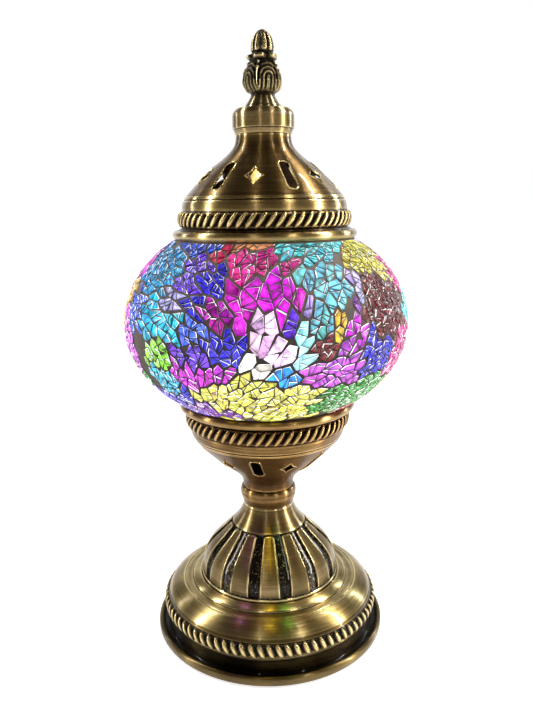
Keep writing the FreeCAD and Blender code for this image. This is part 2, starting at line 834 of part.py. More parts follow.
def make_bulb():
    """A small screw-cap bulb. Its cap and the holder's shell are drawn without their threads."""
    cap = size.cap_radius
    wall = size.cap_wall
    low, high = size.cap_low, size.cap_high
    turned_part("bulb_cap", wall_outline([
        (cap - 1.6, low), (cap - 0.6, low + 1.2), (cap, low + 3.0), (cap, high - 2.0), (cap + 1.2, high),
    ], wall))
    tip = size.tip_low
    turned_part("bulb_tip", [
        (0, tip), (1.2, tip, arc(1.4, OUT)), (2.2, tip + 1.1), (2.2, tip + 1.6), (0, tip + 1.6),
    ])
    turned_part("bulb_insulator", [
        (0, tip + 1.65), (2.6, tip + 1.65), (cap - 1.7, low - 0.05), (0, low - 0.05),
    ])
    radius = size.bulb_radius
    middle = size.bulb_middle
    neck = cap - wall - 0.1
    outside = [
        (neck, high - 5.0), (neck, high), (neck + 1.7, high + 2.6, arc(60.0, IN)),
        (0.5 * radius, middle - 0.866 * radius, arc(radius, OUT)),
        (radius, middle, arc(radius, OUT)), (0, middle + radius),
    ]
    turned_part("bulb_glass", wall_outline(outside, size.bulb_wall, FreeCAD.Vector(0, -1, 0)))
    turned_part("bulb_stem", [
        (0, high - 4.6), (3.6, high - 4.6), (1.4, high + 4.0), (1.4, middle - 6.0), (0, middle - 6.0),
    ])
    make_filament()


def make_filament():
    """Four upright filaments between a low and a high ring, on the stem."""
    middle = size.bulb_middle.value
    parts = [Part.makeCylinder(0.35, 14.0, FreeCAD.Vector(0, 0, middle - 6.0))]
    for number in range(4):
        turn = FreeCAD.Rotation(UP, 90 * number)
        foot = turn.multVec(FreeCAD.Vector(5.5, 0, 0)) + UP * (middle - 7.0)
        parts.append(Part.makeCylinder(0.75, 15.0, foot))
        for height in (-5.5, 7.0):
            way = turn.multVec(FreeCAD.Vector(1, 0, 0))
            parts.append(Part.makeCylinder(0.3, 5.5, UP * (middle + height), way))
    shape_part("bulb_filaments", parts[0].multiFuse(parts[1:]))


# ---------------------------------------------------------------- finial


def make_finial():
    """A cast finial: flared base, waist, leafy bulb and acorn, bored for the stud."""
    base = size.finial_base
    high = size.finial_high
    bore = size.stud_radius + 0.05
    body = turned_part("finial", [
        (bore, 0), (base, 0, arc(9.0, IN)), (6.1, 6.6), (9.6, 10.4, arc(4.6, OUT)), (9.6, 18.0),
        (6.8, 23.0), (8.6, 25.4, arc(2.0, OUT)), (6.4, 28.0), (6.3, 31.0), (5.3, 35.0),
        (3.0, high - 1.0, arc(5.0, OUT)), (0, high), (0, 11.5), (bore, 11.0),
    ])
    placed(body, size.lid_rim + size.lid_collar_end)


# ---------------------------------------------------------------- build and write

make_felt_pad()
make_bottom_cover()
make_base_shell()
make_cord_grommet()
make_pedestal()
make_bowl()
make_lid()
make_lid_spring()
make_glass_globe()
make_grout_layer()
make_tiles()
make_globe_gasket()
make_clamping_parts()
make_lid_fasteners()
make_lamp_holder()
make_bulb()
make_finial()
doc.recompute()

os.makedirs("parts", exist_ok=True)
for item in doc.Objects:
    if "Invalid" in item.State or "Error" in item.State:
        raise RuntimeError(f"{item.Label} did not build: {item.State}")
for node in nodes:
    if node.Shape.isNull() or not node.Shape.isValid():
        raise RuntimeError(f"{node.Label} has no valid shape")
    print(node.Label, round(node.Shape.Volume), len(node.Shape.Solids))
    node.Shape.exportStep(f"parts/{node.Label}.step")
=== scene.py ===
"""Looks of the mosaic glass table lamp: relief-covered brass, crackled glass chips in cement, and a
bulb whose light through the chips is painted into them as glow. Lengths in the outlines are millimetres; MM
turns them into metres."""

import math
import random
from collections import namedtuple

import bmesh
import bpy
import numpy as np
from mathutils import Matrix, Vector


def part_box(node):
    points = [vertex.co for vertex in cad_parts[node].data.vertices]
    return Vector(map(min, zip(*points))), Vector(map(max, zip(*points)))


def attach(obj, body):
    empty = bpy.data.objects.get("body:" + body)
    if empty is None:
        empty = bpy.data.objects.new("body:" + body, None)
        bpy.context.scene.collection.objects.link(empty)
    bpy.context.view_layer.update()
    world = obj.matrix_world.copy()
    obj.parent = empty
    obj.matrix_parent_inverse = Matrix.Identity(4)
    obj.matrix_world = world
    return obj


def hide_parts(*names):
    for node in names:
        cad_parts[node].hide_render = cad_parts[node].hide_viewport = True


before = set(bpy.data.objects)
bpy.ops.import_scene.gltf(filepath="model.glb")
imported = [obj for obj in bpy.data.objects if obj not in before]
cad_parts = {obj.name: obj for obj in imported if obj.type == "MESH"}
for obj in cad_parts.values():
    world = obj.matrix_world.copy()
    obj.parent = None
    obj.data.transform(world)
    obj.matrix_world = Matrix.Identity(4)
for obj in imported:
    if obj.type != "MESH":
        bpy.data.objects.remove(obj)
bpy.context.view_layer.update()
MM = 0.001
TURN = 2 * math.pi


def reach(node):
    """The largest distance of a CAD node from the lamp's axis, in millimetres, and its height there."""
    widest = max(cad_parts[node].data.vertices, key=lambda v: v.co.x ** 2 + v.co.y ** 2)
    return math.hypot(widest.co.x, widest.co.y) / MM, widest.co.z / MM


ROLL = 2.6                          # how far the rolled rims of bowl and lid reach past their rim lines
BULB_RADIUS = 22.5
# Heights that the CAD model sets.
LID_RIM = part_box("lid_dome")[0].z / MM + ROLL
BOWL_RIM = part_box("bowl")[1].z / MM - ROLL
FOOT_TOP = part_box("pedestal")[0].z / MM
PEDESTAL_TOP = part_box("pedestal")[1].z / MM
LID_COLLAR_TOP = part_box("lid_collar")[1].z / MM
FINIAL_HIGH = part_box("finial")[1].z / MM - LID_COLLAR_TOP
BOWL_COLLAR_END = BOWL_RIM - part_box("bowl_collar")[0].z / MM
LID_COLLAR_END = LID_COLLAR_TOP - LID_RIM
GLASS_RADIUS, GLOBE_MIDDLE = reach("glass_globe")
BULB_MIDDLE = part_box("bulb_glass")[1].z / MM - BULB_RADIUS

# -------------------------------- node materials


def join(tree, value, socket):
    """Links a node's output to a socket, or sets a plain value on it."""
    if isinstance(value, bpy.types.NodeSocket):
        tree.links.new(value, socket)
    else:
        socket.default_value = value


def add_node(tree, kind, output, inputs, **settings):
    """Adds a node with its settings and inputs, and returns one of its outputs."""
    node = tree.nodes.new(kind)
    for name, value in settings.items():
        setattr(node, name, value)
    for name, value in inputs.items():
        join(tree, value, node.inputs[name])
    return node.outputs[output]


def add_ramp(tree, factor, stops):
    """Blends colours, or greys given as plain numbers, over the range of a factor."""
    blend = add_node(tree, "ShaderNodeValToRGB", "Color", {"Fac": factor})
    elements = blend.node.color_ramp.elements
    while len(elements) < len(stops):
        elements.new(0.5)
    for element, (place, colour) in zip(elements, stops):
        element.position = place
        element.color = (*(colour if isinstance(colour, tuple) else (colour,) * 3), 1.0)
    return blend


class Finish:
    """A material with one principled shader, and short ways to add nodes to it."""

    def __init__(self, name):
        self.material = bpy.data.materials.new(name)
        self.material.use_nodes = True
        self.tree = self.material.node_tree
        self.place = self.node("ShaderNodeTexCoord", "Object", {})

    def node(self, kind, output, inputs, **settings):
        return add_node(self.tree, kind, output, inputs, **settings)

    def set(self, values):
        """Sets or links the shader's own inputs."""
        for name, value in values.items():
            join(self.tree, value, self.tree.nodes["Principled BSDF"].inputs[name])

    def attribute(self, name, output="Fac"):
        return self.node("ShaderNodeAttribute", output, {}, attribute_name=name)

    def noise(self, scale, detail=4.0, stretch=(1, 1, 1), roughness=0.55):
        place = self.node("ShaderNodeMapping", "Vector", {"Vector": self.place, "Scale": stretch})
        inputs = {"Vector": place, "Scale": scale, "Detail": detail, "Roughness": roughness}
        return self.node("ShaderNodeTexNoise", "Fac", inputs)

    def ramp(self, factor, *stops):
        return add_ramp(self.tree, factor, stops)

    def mix(self, factor, first, second, blend="MIX"):
        inputs = {0: factor, 6: first, 7: second}
        return self.node("ShaderNodeMix", 2, inputs, data_type="RGBA", blend_type=blend)

    def maths(self, operation, *values):
        return self.node("ShaderNodeMath", 0, dict(enumerate(values)), operation=operation)

    def centred(self, noise, swing):
        """A noise spread evenly about nought."""
        return self.maths("MULTIPLY_ADD", noise, swing, -swing / 2)

    def bump(self, height, strength, distance=0.0004):
        inputs = {"Strength": strength, "Distance": distance, "Height": height}
        self.set({"Normal": self.node("ShaderNodeBump", "Normal", inputs)})


def scaled(colour, factor, white=0.0):
    """A colour made lighter or darker and then whitened by a share."""
    return tuple(min(1.0, channel * factor * (1 - white) + white) for channel in colour)


def brass(name, dark, middle, bright, roughness=(0.37, 0.27), glint_flecks=0.0, lacquer=0.30):
    """Antiqued brass: black-brown where the relief is deep, rubbed gold where it stands proud, with
    brushing that runs round the lamp. Its wear value also carries painted shade on the pedestal's petals."""
    finish = Finish(name)
    cloud = finish.noise(38.0, 5.0)
    brushed = finish.noise(60.0, 4.0, (1, 1, 30))
    worn_and_shaded = finish.maths("ADD", finish.attribute("wear_and_shade"), finish.centred(cloud, 0.44))
    worn_and_shaded = finish.maths("ADD", worn_and_shaded, finish.centred(brushed, 0.40))
    colour = finish.ramp(worn_and_shaded, (0.10, dark), (0.36, scaled(middle, 0.45)), (0.60, middle), (0.98, bright))
    spots = finish.ramp(finish.noise(1100.0, 2.0), (0.28, 0.35), (0.38, 1.0))
    colour = finish.mix(0.6, colour, spots, "MULTIPLY")
    recess = finish.ramp(worn_and_shaded, (0.14, 1.0), (0.32, 0.0))
    # Flecks: bright brass specks in the dark recesses, partly worn-through metal and partly painted glints.
    if glint_flecks > 0:
        glint_fleck = finish.ramp(finish.noise(1500.0, 2.0, (1, 1, 0.6), 0.7), (0.60, 0.0), (0.68, glint_flecks))
        colour = finish.mix(finish.maths("MULTIPLY", recess, glint_fleck), colour, (*bright, 1.0))
    dull, shiny = roughness
    gloss = finish.ramp(worn_and_shaded, (0.1, dull + 0.12), (0.5, dull), (0.95, shiny))
    turning = finish.node("ShaderNodeTangent", "Tangent", {}, direction_type="RADIAL", axis="Z")
    finish.set({"Base Color": colour, "Metallic": 1.0, "Roughness": gloss, "Anisotropic": 0.92,
                "Anisotropic Rotation": 0.25, "Tangent": turning, "Coat Weight": lacquer,
                "Coat Roughness": 0.05})
    grit = finish.maths("MULTIPLY", finish.noise(900.0, 2.0), recess)
    finish.bump(finish.maths("MULTIPLY_ADD", brushed, 0.35, grit), 0.4)
    return finish.material


def plain(name, first, second, scale, metallic=0.0, roughness=(0.4, 0.6), relief=0.2, stretch=(1, 1, 1)):
    """A finish for the smaller parts: two tones, uneven gloss and a fine grain."""
    finish = Finish(name)
    grain = finish.noise(scale * 9, 3.0, stretch)
    colour = finish.ramp(finish.noise(scale, 5.0, stretch), (0.35, first), (0.68, second))
    gloss = finish.ramp(grain, (0.3, roughness[0]), (0.7, roughness[1]))
    finish.set({"Base Color": colour, "Roughness": gloss, "Metallic": metallic})
    finish.bump(grain, relief, 0.0003)
    return finish.material


def chip_glass():
    """Coloured glass with the bulb's light behind it painted in as glow: it emits its own colour and shines
    on its face.
    """
    finish = Finish("chip_glass")
    streak = finish.noise(620.0, 3.0, (1, 1, 0.45))
    depth = finish.ramp(finish.noise(330.0, 4.0), (0.30, 0.38), (0.48, 0.92), (0.66, 1.0))
    colour = finish.mix(1.0, finish.attribute("chip_colour", "Color"), depth, "MULTIPLY")
    colour = finish.mix(finish.ramp(streak, (0.70, 0.0), (0.78, 0.45)), colour, (1.0, 1.0, 1.0, 1.0))
    # The glow attribute drives the emission: painted light from the bulb behind the glass.
    finish.set({"Base Color": finish.mix(1.0, colour, (0.30, 0.30, 0.30, 1.0), "MULTIPLY"),
                "Emission Color": colour,
                "Emission Strength": finish.maths("MULTIPLY", finish.attribute("glow"), 1.12),
                "Roughness": 0.16, "Specular IOR Level": 0.25, "Coat Weight": 0.08, "Coat Roughness": 0.05})
    finish.bump(streak, 0.35, 0.0005)
    return finish.material


def cement():
    """Grey cement with sand in it, darker in random clouds and where its wear value is low: on the bed in
    front of the bulb, painted shade.
    """
    finish = Finish("cement")
    sand = finish.noise(1500.0, 2.0)
    mixed = finish.maths("ADD", finish.attribute("wear_and_shade"), finish.centred(finish.noise(40.0, 4.0), 0.5))
    tones = (0.15, (0.028, 0.018, 0.014)), (0.50, (0.11, 0.085, 0.07)), (0.85, (0.30, 0.26, 0.23))
    grains = finish.ramp(sand, (0.3, 0.5), (0.7, 1.0))
    colour = finish.mix(0.5, finish.ramp(mixed, *tones), grains, "MULTIPLY")
    finish.set({"Base Color": colour, "Roughness": 0.85})
    finish.bump(sand, 0.5, 0.0003)
    return finish.material


def clear_glass(name, tint, alpha):
    finish = Finish(name)
    ripple = finish.noise(60.0, 2.0)
    shade = finish.ramp(ripple, (0.3, tint), (0.7, scaled(tint, 0.92)))
    finish.set({"Base Color": shade, "Roughness": 0.05, "Alpha": alpha})
    finish.bump(ripple, 0.08)
    return finish.material


def glowing(name, tone, strength):
    finish = Finish(name)
    frost = finish.noise(700.0, 2.0)
    shade = finish.ramp(frost, (0.3, scaled(tone, 0.9)), (0.7, tone))
    finish.set({"Base Color": shade, "Roughness": 0.3, "Emission Color": shade,
                "Emission Strength": strength})
    finish.bump(frost, 0.1)
    return finish.material


# -------------------------------- turned meshes with relief


def rounded(points, passes=3):
    """Smooths an open line by cutting its corners; a corner given twice stays nearly sharp."""
    line = np.array(points, float)
    for _ in range(passes):
        near = 0.75 * line[:-1] + 0.25 * line[1:]
        far = 0.25 * line[:-1] + 0.75 * line[1:]
        middle = np.stack([near, far], 1).reshape(-1, 2)
        line = np.vstack([line[:1], middle, line[-1:]])
    keep = np.ones(len(line), bool)
    keep[1:] = np.linalg.norm(np.diff(line, axis=0), axis=1) > 1e-4
    return line[keep]


def even(line, step):
    """The same open line with points no further apart than the step."""
    pieces = [line[:1]]
    for start, end in zip(line[:-1], line[1:]):
        count = max(1, math.ceil(np.linalg.norm(end - start) / step))
        pieces.append(start + (end - start) * (np.arange(1, count + 1) / count)[:, None])
    return np.vstack(pieces)


def line_normals(line):
    """Unit normals of an outline that runs up the outside of a wall: they point out of the brass."""
    way = np.gradient(line, axis=0)
    normals = np.stack([way[:, 1], -way[:, 0]], 1)
    return normals / np.maximum(np.linalg.norm(normals, axis=1), 1e-9)[:, None]


def line_wear(line, strength=1.1):
    """How rubbed each point of an outline is: ridges are bright and hollows are dark."""
    way = np.gradient(line, axis=0)
    bearing = np.unwrap(np.arctan2(way[:, 1], way[:, 0]))
    run = np.maximum(np.linalg.norm(way, axis=1), 1e-6)
    bend = np.gradient(bearing) / run
    return np.clip(0.58 + strength * bend, 0.0, 1.0)


def turned(name, outside, inside, count, relief=None, wear_and_shade=None, inner_wear=0.05):
    """A closed turned mesh. The outside line carries the relief, and the inside line closes it.
    relief(angle, radius, height) gives how far a point is pushed out and what it adds to the wear value:
    rubbing, and painted shade on the petals' middles and on the cement in front of the bulb."""
    line = np.vstack([outside, inside])
    angles = np.arange(count) * TURN / count
    wear_and_shade = np.concatenate([line_wear(outside) if wear_and_shade is None else wear_and_shade, np.full(len(inside), inner_wear)])
    radius, height, worn_and_shaded = (np.tile(values, (count, 1)) for values in (line[:, 0], line[:, 1], wear_and_shade))
    if relief is not None:
        span = len(outside)
        push, rub_and_shade = relief(angles[:, None], outside[None, :, 0], outside[None, :, 1])
        out, up = line_normals(outside).T
        radius[:, :span] += push * out
        height[:, :span] += push * up
        worn_and_shaded[:, :span] = np.clip(worn_and_shaded[:, :span] + rub_and_shade, 0, 1)
    radius[:, line[:, 0] < 1e-6] = 0
    spots = np.stack([radius * np.cos(angles)[:, None], radius * np.sin(angles)[:, None], height], 2)
    first = np.arange(count * len(line)).reshape(count, -1)
    second = np.roll(first, -1, 0)
    quads = np.stack([first, second, np.roll(second, -1, 1), np.roll(first, -1, 1)], 2)
    mesh = bpy.data.meshes.new(name)
    mesh.from_pydata((spots.reshape(-1, 3) * MM).tolist(), [], quads.reshape(-1, 4).tolist())
    values = mesh.attributes.new("wear_and_shade", "FLOAT", "POINT").data
    values.foreach_set("value", worn_and_shaded.reshape(-1).astype(np.float32))
    return finish_mesh(name, mesh)


def finish_mesh(name, mesh):
    """Welds a mesh, faces it outwards, smooths its shading and makes its object."""
    work = bmesh.new()
    work.from_mesh(mesh)
    bmesh.ops.remove_doubles(work, verts=work.verts, dist=1e-7)
    bmesh.ops.recalc_face_normals(work, faces=work.faces)
    shade_smooth(work)
    work.to_mesh(mesh)
    work.free()
    return make_object(name, mesh)


def shade_smooth(work, sharp=40.0):
    """Smooth shading that stops at sharp edges."""
    for face in work.faces:
        face.smooth = True
    for edge in work.edges:
        edge.smooth = len(edge.link_faces) != 2 or edge.calc_face_angle(0) < math.radians(sharp)


def make_object(name, data):
    made = bpy.data.objects.new(name, data)
    bpy.context.scene.collection.objects.link(made)
    return made


def dress(piece, material, body, node):
    """Gives a piece its material and its body, and hides the CAD node that it stands for."""
    piece.data.materials.clear()
    piece.data.materials.append(material)
    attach(piece, body)
    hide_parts(node)


def rising(value, start, end):
    """0 at the start and 1 at the end. It falls with the value where the end is below the start."""
    return np.clip((value - start) / (end - start), 0, 1)


def bell(value, middle, width):
    """1 at the middle, fading smoothly to both sides."""
    return np.exp(-((value - middle) / width) ** 2)


def rope_relief(count, low, high, lean, depth=1.5):
    """Separate leaning drops between two heights. lean is the shift in drops over the band's height."""
    def relief(angle, radius, height):
        place = (height - low) / (high - low)
        inside = np.clip(1 - (2 * place - 1) ** 2, 0, 1)
        phase = count * angle / TURN - lean * (place - 0.5)
        away = np.abs(phase - np.round(phase))
        drop = np.clip(1 - (away / (0.42 * inside ** 0.4 + 0.02)) ** 2, 0, 1)
        fade = np.minimum(1, inside * 3.0)
        push = np.where(inside > 0, (drop ** 0.6 - 0.85) * depth * fade, 0)
        rub_and_shade = np.where(inside > 0, (drop ** 1.8 * 1.25 - 0.90) * fade, 0)
        return push, rub_and_shade
    return relief


# -------------------------------- foot


def half_round(radius, low, high, out, points=9):
    """The section of a half-round band on a wall."""
    turn = np.linspace(-math.pi / 2, math.pi / 2, points)
    middle, half = (low + high) / 2, (high - low) / 2
    return [(radius + (out - radius) * math.cos(a), middle + half * math.sin(a)) for a in turn]


def make_foot(material):
    """The spun foot: rolled rim, dark channel, rope band, shoulder, groove and a step up to the top."""
    low, high = 13.7, 22.4
    rim = [(66.8, 3.2), (67.5, 2.2), (67.7, 1.3), (68.4, 0.7), (69.6, 0.7), (70.3, 1.8), (70.35, 4.2),
           (69.9, 5.6), (68.9, 6.0), (68.0, 5.6), (67.6, 4.6), (67.0, 3.8), (66.0, 3.5)]
    drum = [(64.2, 3.5), (63.6, 4.2), (63.4, 6.0), (63.4, 11.8), (63.7, 12.6), (63.5, 13.4)]
    shoulder = [(63.5, 22.6), (63.2, 23.4), (62.5, 24.8), (61.2, 26.5), (59.0, 28.3), (56.4, 29.9),
                (54.2, 30.8), (53.4, 30.9), (53.1, 30.6), (52.8, 30.8), (51.6, 31.1), (49.6, 31.2),
                (48.5, 31.1), (48.2, 31.0), (48.1, 31.5), (47.9, 32.1), (46.9, 32.9), (45.4, 33.6),
                (44.0, 34.0), (43.0, FOOT_TOP - 0.1), (42.6, FOOT_TOP - 0.5), (42.2, FOOT_TOP - 0.5),
                (41.8, FOOT_TOP), (41.0, FOOT_TOP), (5.4, FOOT_TOP)]
    outside = even(rounded(rim + drum + half_round(63.4, low, high, 66.0) + shoulder, 2), 0.7)
    inside = np.array([(5.4, 33.2), (43.0, 32.8), (47.0, 31.4), (48.0, 29.8), (53.0, 29.4), (58.0, 27.4),
                       (60.6, 25.0), (62.2, 22.0), (64.4, 18.0), (62.5, 13.5), (62.5, 2.6), (66.8, 2.6)])
    wear_and_shade = line_wear(outside)
    radius, height = outside.T
    channel = (radius > 63.0) & (radius < 67.6) & (height < 13.2)
    above_rope = (radius > 62.6) & (height > 21.5)
    rim_crest = (radius > 67.8) & (height < 6.5)
    wear_and_shade[channel] *= 0.25
    wear_and_shade[above_rope] *= 0.5
    wear_and_shade[rim_crest] = 0.46
    piece = turned("foot_brass", outside, inside, 1024, rope_relief(80, low, high, -0.60), wear_and_shade)
    dress(piece, material, "root", "base_shell")


# -------------------------------- pedestal

FLUTES = 14
FLUTE_LOW, FLUTE_HIGH = 36.4, 66.0


def flute_relief(angle, radius, height):
    """Petals with bright rolled edges and round shoulders, standing in a dark recess that ends at the
    plain funnel above them. Each petal's middle is painted a little darker as shade."""
    pitch = TURN / FLUTES
    from_middle = np.abs((angle + math.pi / 2 + pitch / 2) % pitch - pitch / 2) * radius
    half = (pitch / 2 - np.radians(4.7 + 0.9 * rising(height, FLUTE_LOW, FLUTE_HIGH))) * radius
    corner = 1.6
    over = np.maximum(from_middle - (half - corner), 0)
    above = np.maximum((height - FLUTE_HIGH + 0.3) * 1.3 + corner, 0)
    edge = np.hypot(over, above) - corner
    zone = rising(height, FLUTE_LOW - 0.2, FLUTE_LOW + 0.2)
    zone = zone * rising(height, FLUTE_HIGH + 0.5, FLUTE_HIGH + 0.1)
    depth = rising(edge, 0, 0.5) * zone
    lip = bell(edge, -0.38, 0.34) * zone
    brim = bell(height, FLUTE_HIGH + 0.9, 0.4)
    # heart: the middle of each petal, darkened a little as painted shade.
    heart = rising(edge, -0.7, -2.9) * zone
    return -1.35 * depth + 0.14 * lip, -1.0 * depth + 0.42 * lip + 0.25 * brim - 0.13 * heart


def make_pedestal(material):
    line = [(42.4, FOOT_TOP + 0.1), (42.4, FOOT_TOP + 1.2), (41.9, FOOT_TOP + 1.8), (41.7, 37.0),
            (41.6, 40.0), (41.0, 43.2), (39.8, 46.9), (37.6, 51.0), (34.0, 55.2), (30.0, 59.0), (26.0, 63.0),
            (22.3, 66.6), (19.3, 70.2), (17.0, 74.0), (15.7, 77.2), (15.3, PEDESTAL_TOP - 0.1),
            (15.1, PEDESTAL_TOP), (5.5, PEDESTAL_TOP)]
    outside = even(rounded(line, 3), 0.5)
    inside = np.array([(5.5, 76.0), (12.5, 76.0), (14.0, 74.0), (20.0, 65.5), (28.0, 57.0), (34.0, 50.0),
                       (38.2, 42.0), (38.9, FOOT_TOP + 0.1)])
    piece = turned("pedestal_brass", outside, inside, FLUTES * 48, flute_relief)
    dress(piece, material, "root", "pedestal")


# -------------------------------- bowl and lid

VENTS = 12
# The stamping's wall above its rope band, from the rim up: the lid as it stands, the bowl upside down.
SHELL = [(46.4, 13.2), (46.4, 14.2), (46.1, 16.0), (45.6, 17.6), (45.3, 18.3), (44.9, 18.7), (44.7, 19.0),
         (44.6, 19.6), (44.2, 20.4), (43.9, 20.8), (43.4, 21.2), (41.2, 23.7), (39.2, 25.8), (35.8, 29.5),
         (31.6, 33.5), (27.0, 37.5), (21.6, 41.5), (18.0, 45.0), (16.0, 48.0), (15.4, 50.5), (15.3, 53.0),
         (15.0, 53.6), (15.0, 59.2), (5.4, 59.2)]
SKIRT = [(46.6, 0.6), (47.0, -0.9), (48.0, -2.2), (49.6, -2.6), (51.3, -2.0), (52.2, -0.3), (51.8, 1.4),
         (50.6, 2.4), (49.3, 2.5), (48.4, 2.7), (48.0, 3.3), (47.0, 3.6), (46.5, 3.9)]
SHELL_INSIDE = [(5.4, 58.3), (14.0, 58.3), (14.2, 50.5), (15.0, 47.4), (20.6, 41.0), (26.0, 36.8),
                (30.8, 32.6), (35.0, 28.6), (38.6, 24.8), (42.4, 20.6), (44.8, 17.6), (45.5, 13.5),
                (45.5, 3.0)]


def wall_point(across, along, centre, turn, outline):
    """A point of the sloping wall, and the wall's normal there, at a place in a vent's own plane."""
    slope = math.radians(45)
    down = np.array([math.cos(slope), 0, -math.sin(slope)])
    out = np.array([math.sin(slope), 0, math.cos(slope)])
    start = np.array([centre[0], 0, centre[1]]) + down * along + np.array([0, across, 0])
    low, high = -6.0, 6.0
    for _ in range(24):
        middle = (low + high) / 2
        spot = start + out * middle
        wall = np.interp(spot[2], outline[:, 1], outline[:, 0])
        if math.hypot(spot[0], spot[1]) > wall:
            high = middle
        else:
            low = middle
    spot = start + out * low
    swing = math.atan2(spot[1], spot[0])
    normal = np.array([math.sin(slope) * math.cos(swing), math.sin(slope) * math.sin(swing), math.cos(slope)])
    spin = np.array([[math.cos(turn), -math.sin(turn), 0], [math.sin(turn), math.cos(turn), 0], [0, 0, 1]])
    return spin @ spot, spin @ normal


def slot_path(steps=14):
    """A slot's outline in its own plane: straight sides and round ends."""
    half_wide, straight = 3.2, 7.3
    path = []
    for end in (1, -1):
        for angle in np.linspace(-math.pi / 2, math.pi / 2, steps):
            path.append((end * half_wide * math.sin(angle), end * (straight + half_wide * math.cos(angle))))
    return path


def star_path(steps=9):
    """A four-pointed star's outline, its sides curved inwards."""
    tips = [(0, 6.5), (5.0, 0), (0, -6.5), (-5.0, 0)]
    path = []
    for start, end in zip(tips, tips[1:] + tips[:1]):
        for share in np.arange(steps) / steps:
            pull = 1 - 0.20 * 4 * share * (1 - share)
            path.append(tuple((a + (b - a) * share) * pull for a, b in zip(start, end)))
    return path


def add_bead(work, spots, normals, radius, layer):
    """Adds a closed round bead along a ring of points, and marks it as rubbed bright."""
    sides, count = 8, len(spots)
    rings = []
    for index, (spot, up) in enumerate(zip(spots, normals)):
        way = spots[(index + 1) % count] - spots[index - 1]
        side = np.cross(way, up)
        side = side / np.linalg.norm(side)
        ring = []
        for angle in np.arange(sides) * TURN / sides:
            place = spot + (side * math.cos(angle) + up * math.sin(angle)) * radius
            ring.append(work.verts.new((place * MM).tolist()))
            ring[-1][layer] = 1.0
        rings.append(ring)
    for near, far in zip(rings, rings[1:] + rings[:1]):
        for step in range(sides):
            following = (step + 1) % sides
            work.faces.new((near[step], near[following], far[following], far[step]))


def add_cutter(work, spots, normals):
    """Adds a prism that goes right through the wall along a vent's outline."""
    middle = sum(normals) / len(normals)
    outer = [work.verts.new(((spot + middle * 3) * MM).tolist()) for spot in spots]
    inner = [work.verts.new(((spot - middle * 5) * MM).tolist()) for spot in spots]
    work.faces.new(outer)
    work.faces.new(inner[::-1])
    for index in range(len(spots)):
        following = (index + 1) % len(spots)
        work.faces.new((outer[index], inner[index], inner[following], outer[following]))


def make_vents(outline):
    """The prisms that cut the vents, and the beads round them, as two meshes."""
    kinds = (star_path(), (34.5, 31.2)), (slot_path(), (34.2, 31.6))
    cutters, beads = bmesh.new(), bmesh.new()
    layer = beads.verts.layers.float.new("wear_and_shade")
    for number in range(VENTS):
        path, centre = kinds[number % 2]
        turn = TURN * number / VENTS
        found = [wall_point(across, along, centre, turn, outline) for across, along in path]
        spots, normals = zip(*found)
        add_bead(beads, spots, normals, 0.42, layer)
        add_cutter(cutters, spots, normals)
    meshes = []
    for name, work in (("cutter", cutters), ("beads", beads)):
        bmesh.ops.recalc_face_normals(work, faces=work.faces)
        meshes.append(bpy.data.meshes.new(name))
        work.to_mesh(meshes[-1])
        work.free()
    return meshes


def cut_away(piece, cutter_mesh):
    """The piece's mesh with the cutter taken out of it."""
    cutter = make_object("cutter", cutter_mesh)
    cut = piece.modifiers.new("vents", "BOOLEAN")
    cut.operation = "DIFFERENCE"
    cut.solver = "EXACT"
    cut.object = cutter
    bpy.context.view_layer.update()
    shape = bpy.data.meshes.new_from_object(piece.evaluated_get(bpy.context.evaluated_depsgraph_get()))
    piece.modifiers.clear()
    bpy.data.objects.remove(cutter)
    return shape


def standing(rim, sign, turn=0.0):
    """The matrix that sets a shape drawn from a rim up in its place. Sign -1 hangs it from the rim."""
    flip = Matrix.Rotation(math.pi if sign < 0 else 0, 4, "X")
    return Matrix.Translation((0, 0, rim * MM)) @ Matrix.Rotation(math.radians(turn), 4, "Z") @ flip


def make_stamping(name, material, body, node, rim, sign, turn):
    """The vented stamping: turned wall, rope band, vents cut right through and beads round them."""
    low, high = 4.1, 12.7
    outside = even(rounded(SKIRT + half_round(46.4, low, high, 48.9) + SHELL, 2), 0.75)
    radius, height = outside.T
    wear_and_shade = line_wear(outside)
    under_rope = (height > 2.6) & (height < 4.4)
    rim_crest = (radius > 47.5) & (height < 2.6)
    wear_and_shade[under_rope] *= 0.35
    wear_and_shade[rim_crest] *= 0.78
    piece = turned(name, outside, np.array(SHELL_INSIDE), 960, rope_relief(60, low, high, 1.0), wear_and_shade, 0.6)
    wall = (height > 14) & (height < 50)
    cutter_mesh, bead_mesh = make_vents(outside[wall])
    shape = cut_away(piece, cutter_mesh)
    work = bmesh.new()
    work.from_mesh(shape)
    work.from_mesh(bead_mesh)
    work.transform(standing(rim, sign, turn))
    shade_smooth(work)
    work.to_mesh(shape)
    work.free()
    piece.data = shape
    dress(piece, material, body, node)


def make_collar(name, material, body, node, rim, sign, end, hole):
    """A turned ring with its widest bead near the stamping. It ends in a face with the tube's hole."""
    if sign < 0:
        line = [(15.1, 53.5), (15.7, 53.3), (16.4, 53.9), (16.9, 55.2), (17.0, 56.6), (16.9, 58.8),
                (16.3, 60.8), (15.7, 62.4), (15.4, end - 0.6), (15.2, end), (hole, end)]
    else:
        line = [(15.1, 53.5), (15.5, 53.4), (16.0, 54.6), (16.4, 55.9), (16.5, 56.2), (17.0, 56.6),
                (17.0, 57.2), (17.0, 60.0), (17.0, end - 3.4), (16.7, end - 2.4), (15.6, end - 0.9),
                (14.9, end - 0.2), (14.3, end), (hole, end)]
    outside = even(rounded(line, 3), 0.5)
    inside = np.array([(hole, 59.3), (15.1, 59.3)])
    piece = turned(name, outside, inside, 192, None, np.minimum(line_wear(outside), 0.72))
    piece.data.transform(standing(rim, sign))
    dress(piece, material, body, node)


# -------------------------------- finial

LEAVES = 5
ACORN_RIBS = 9


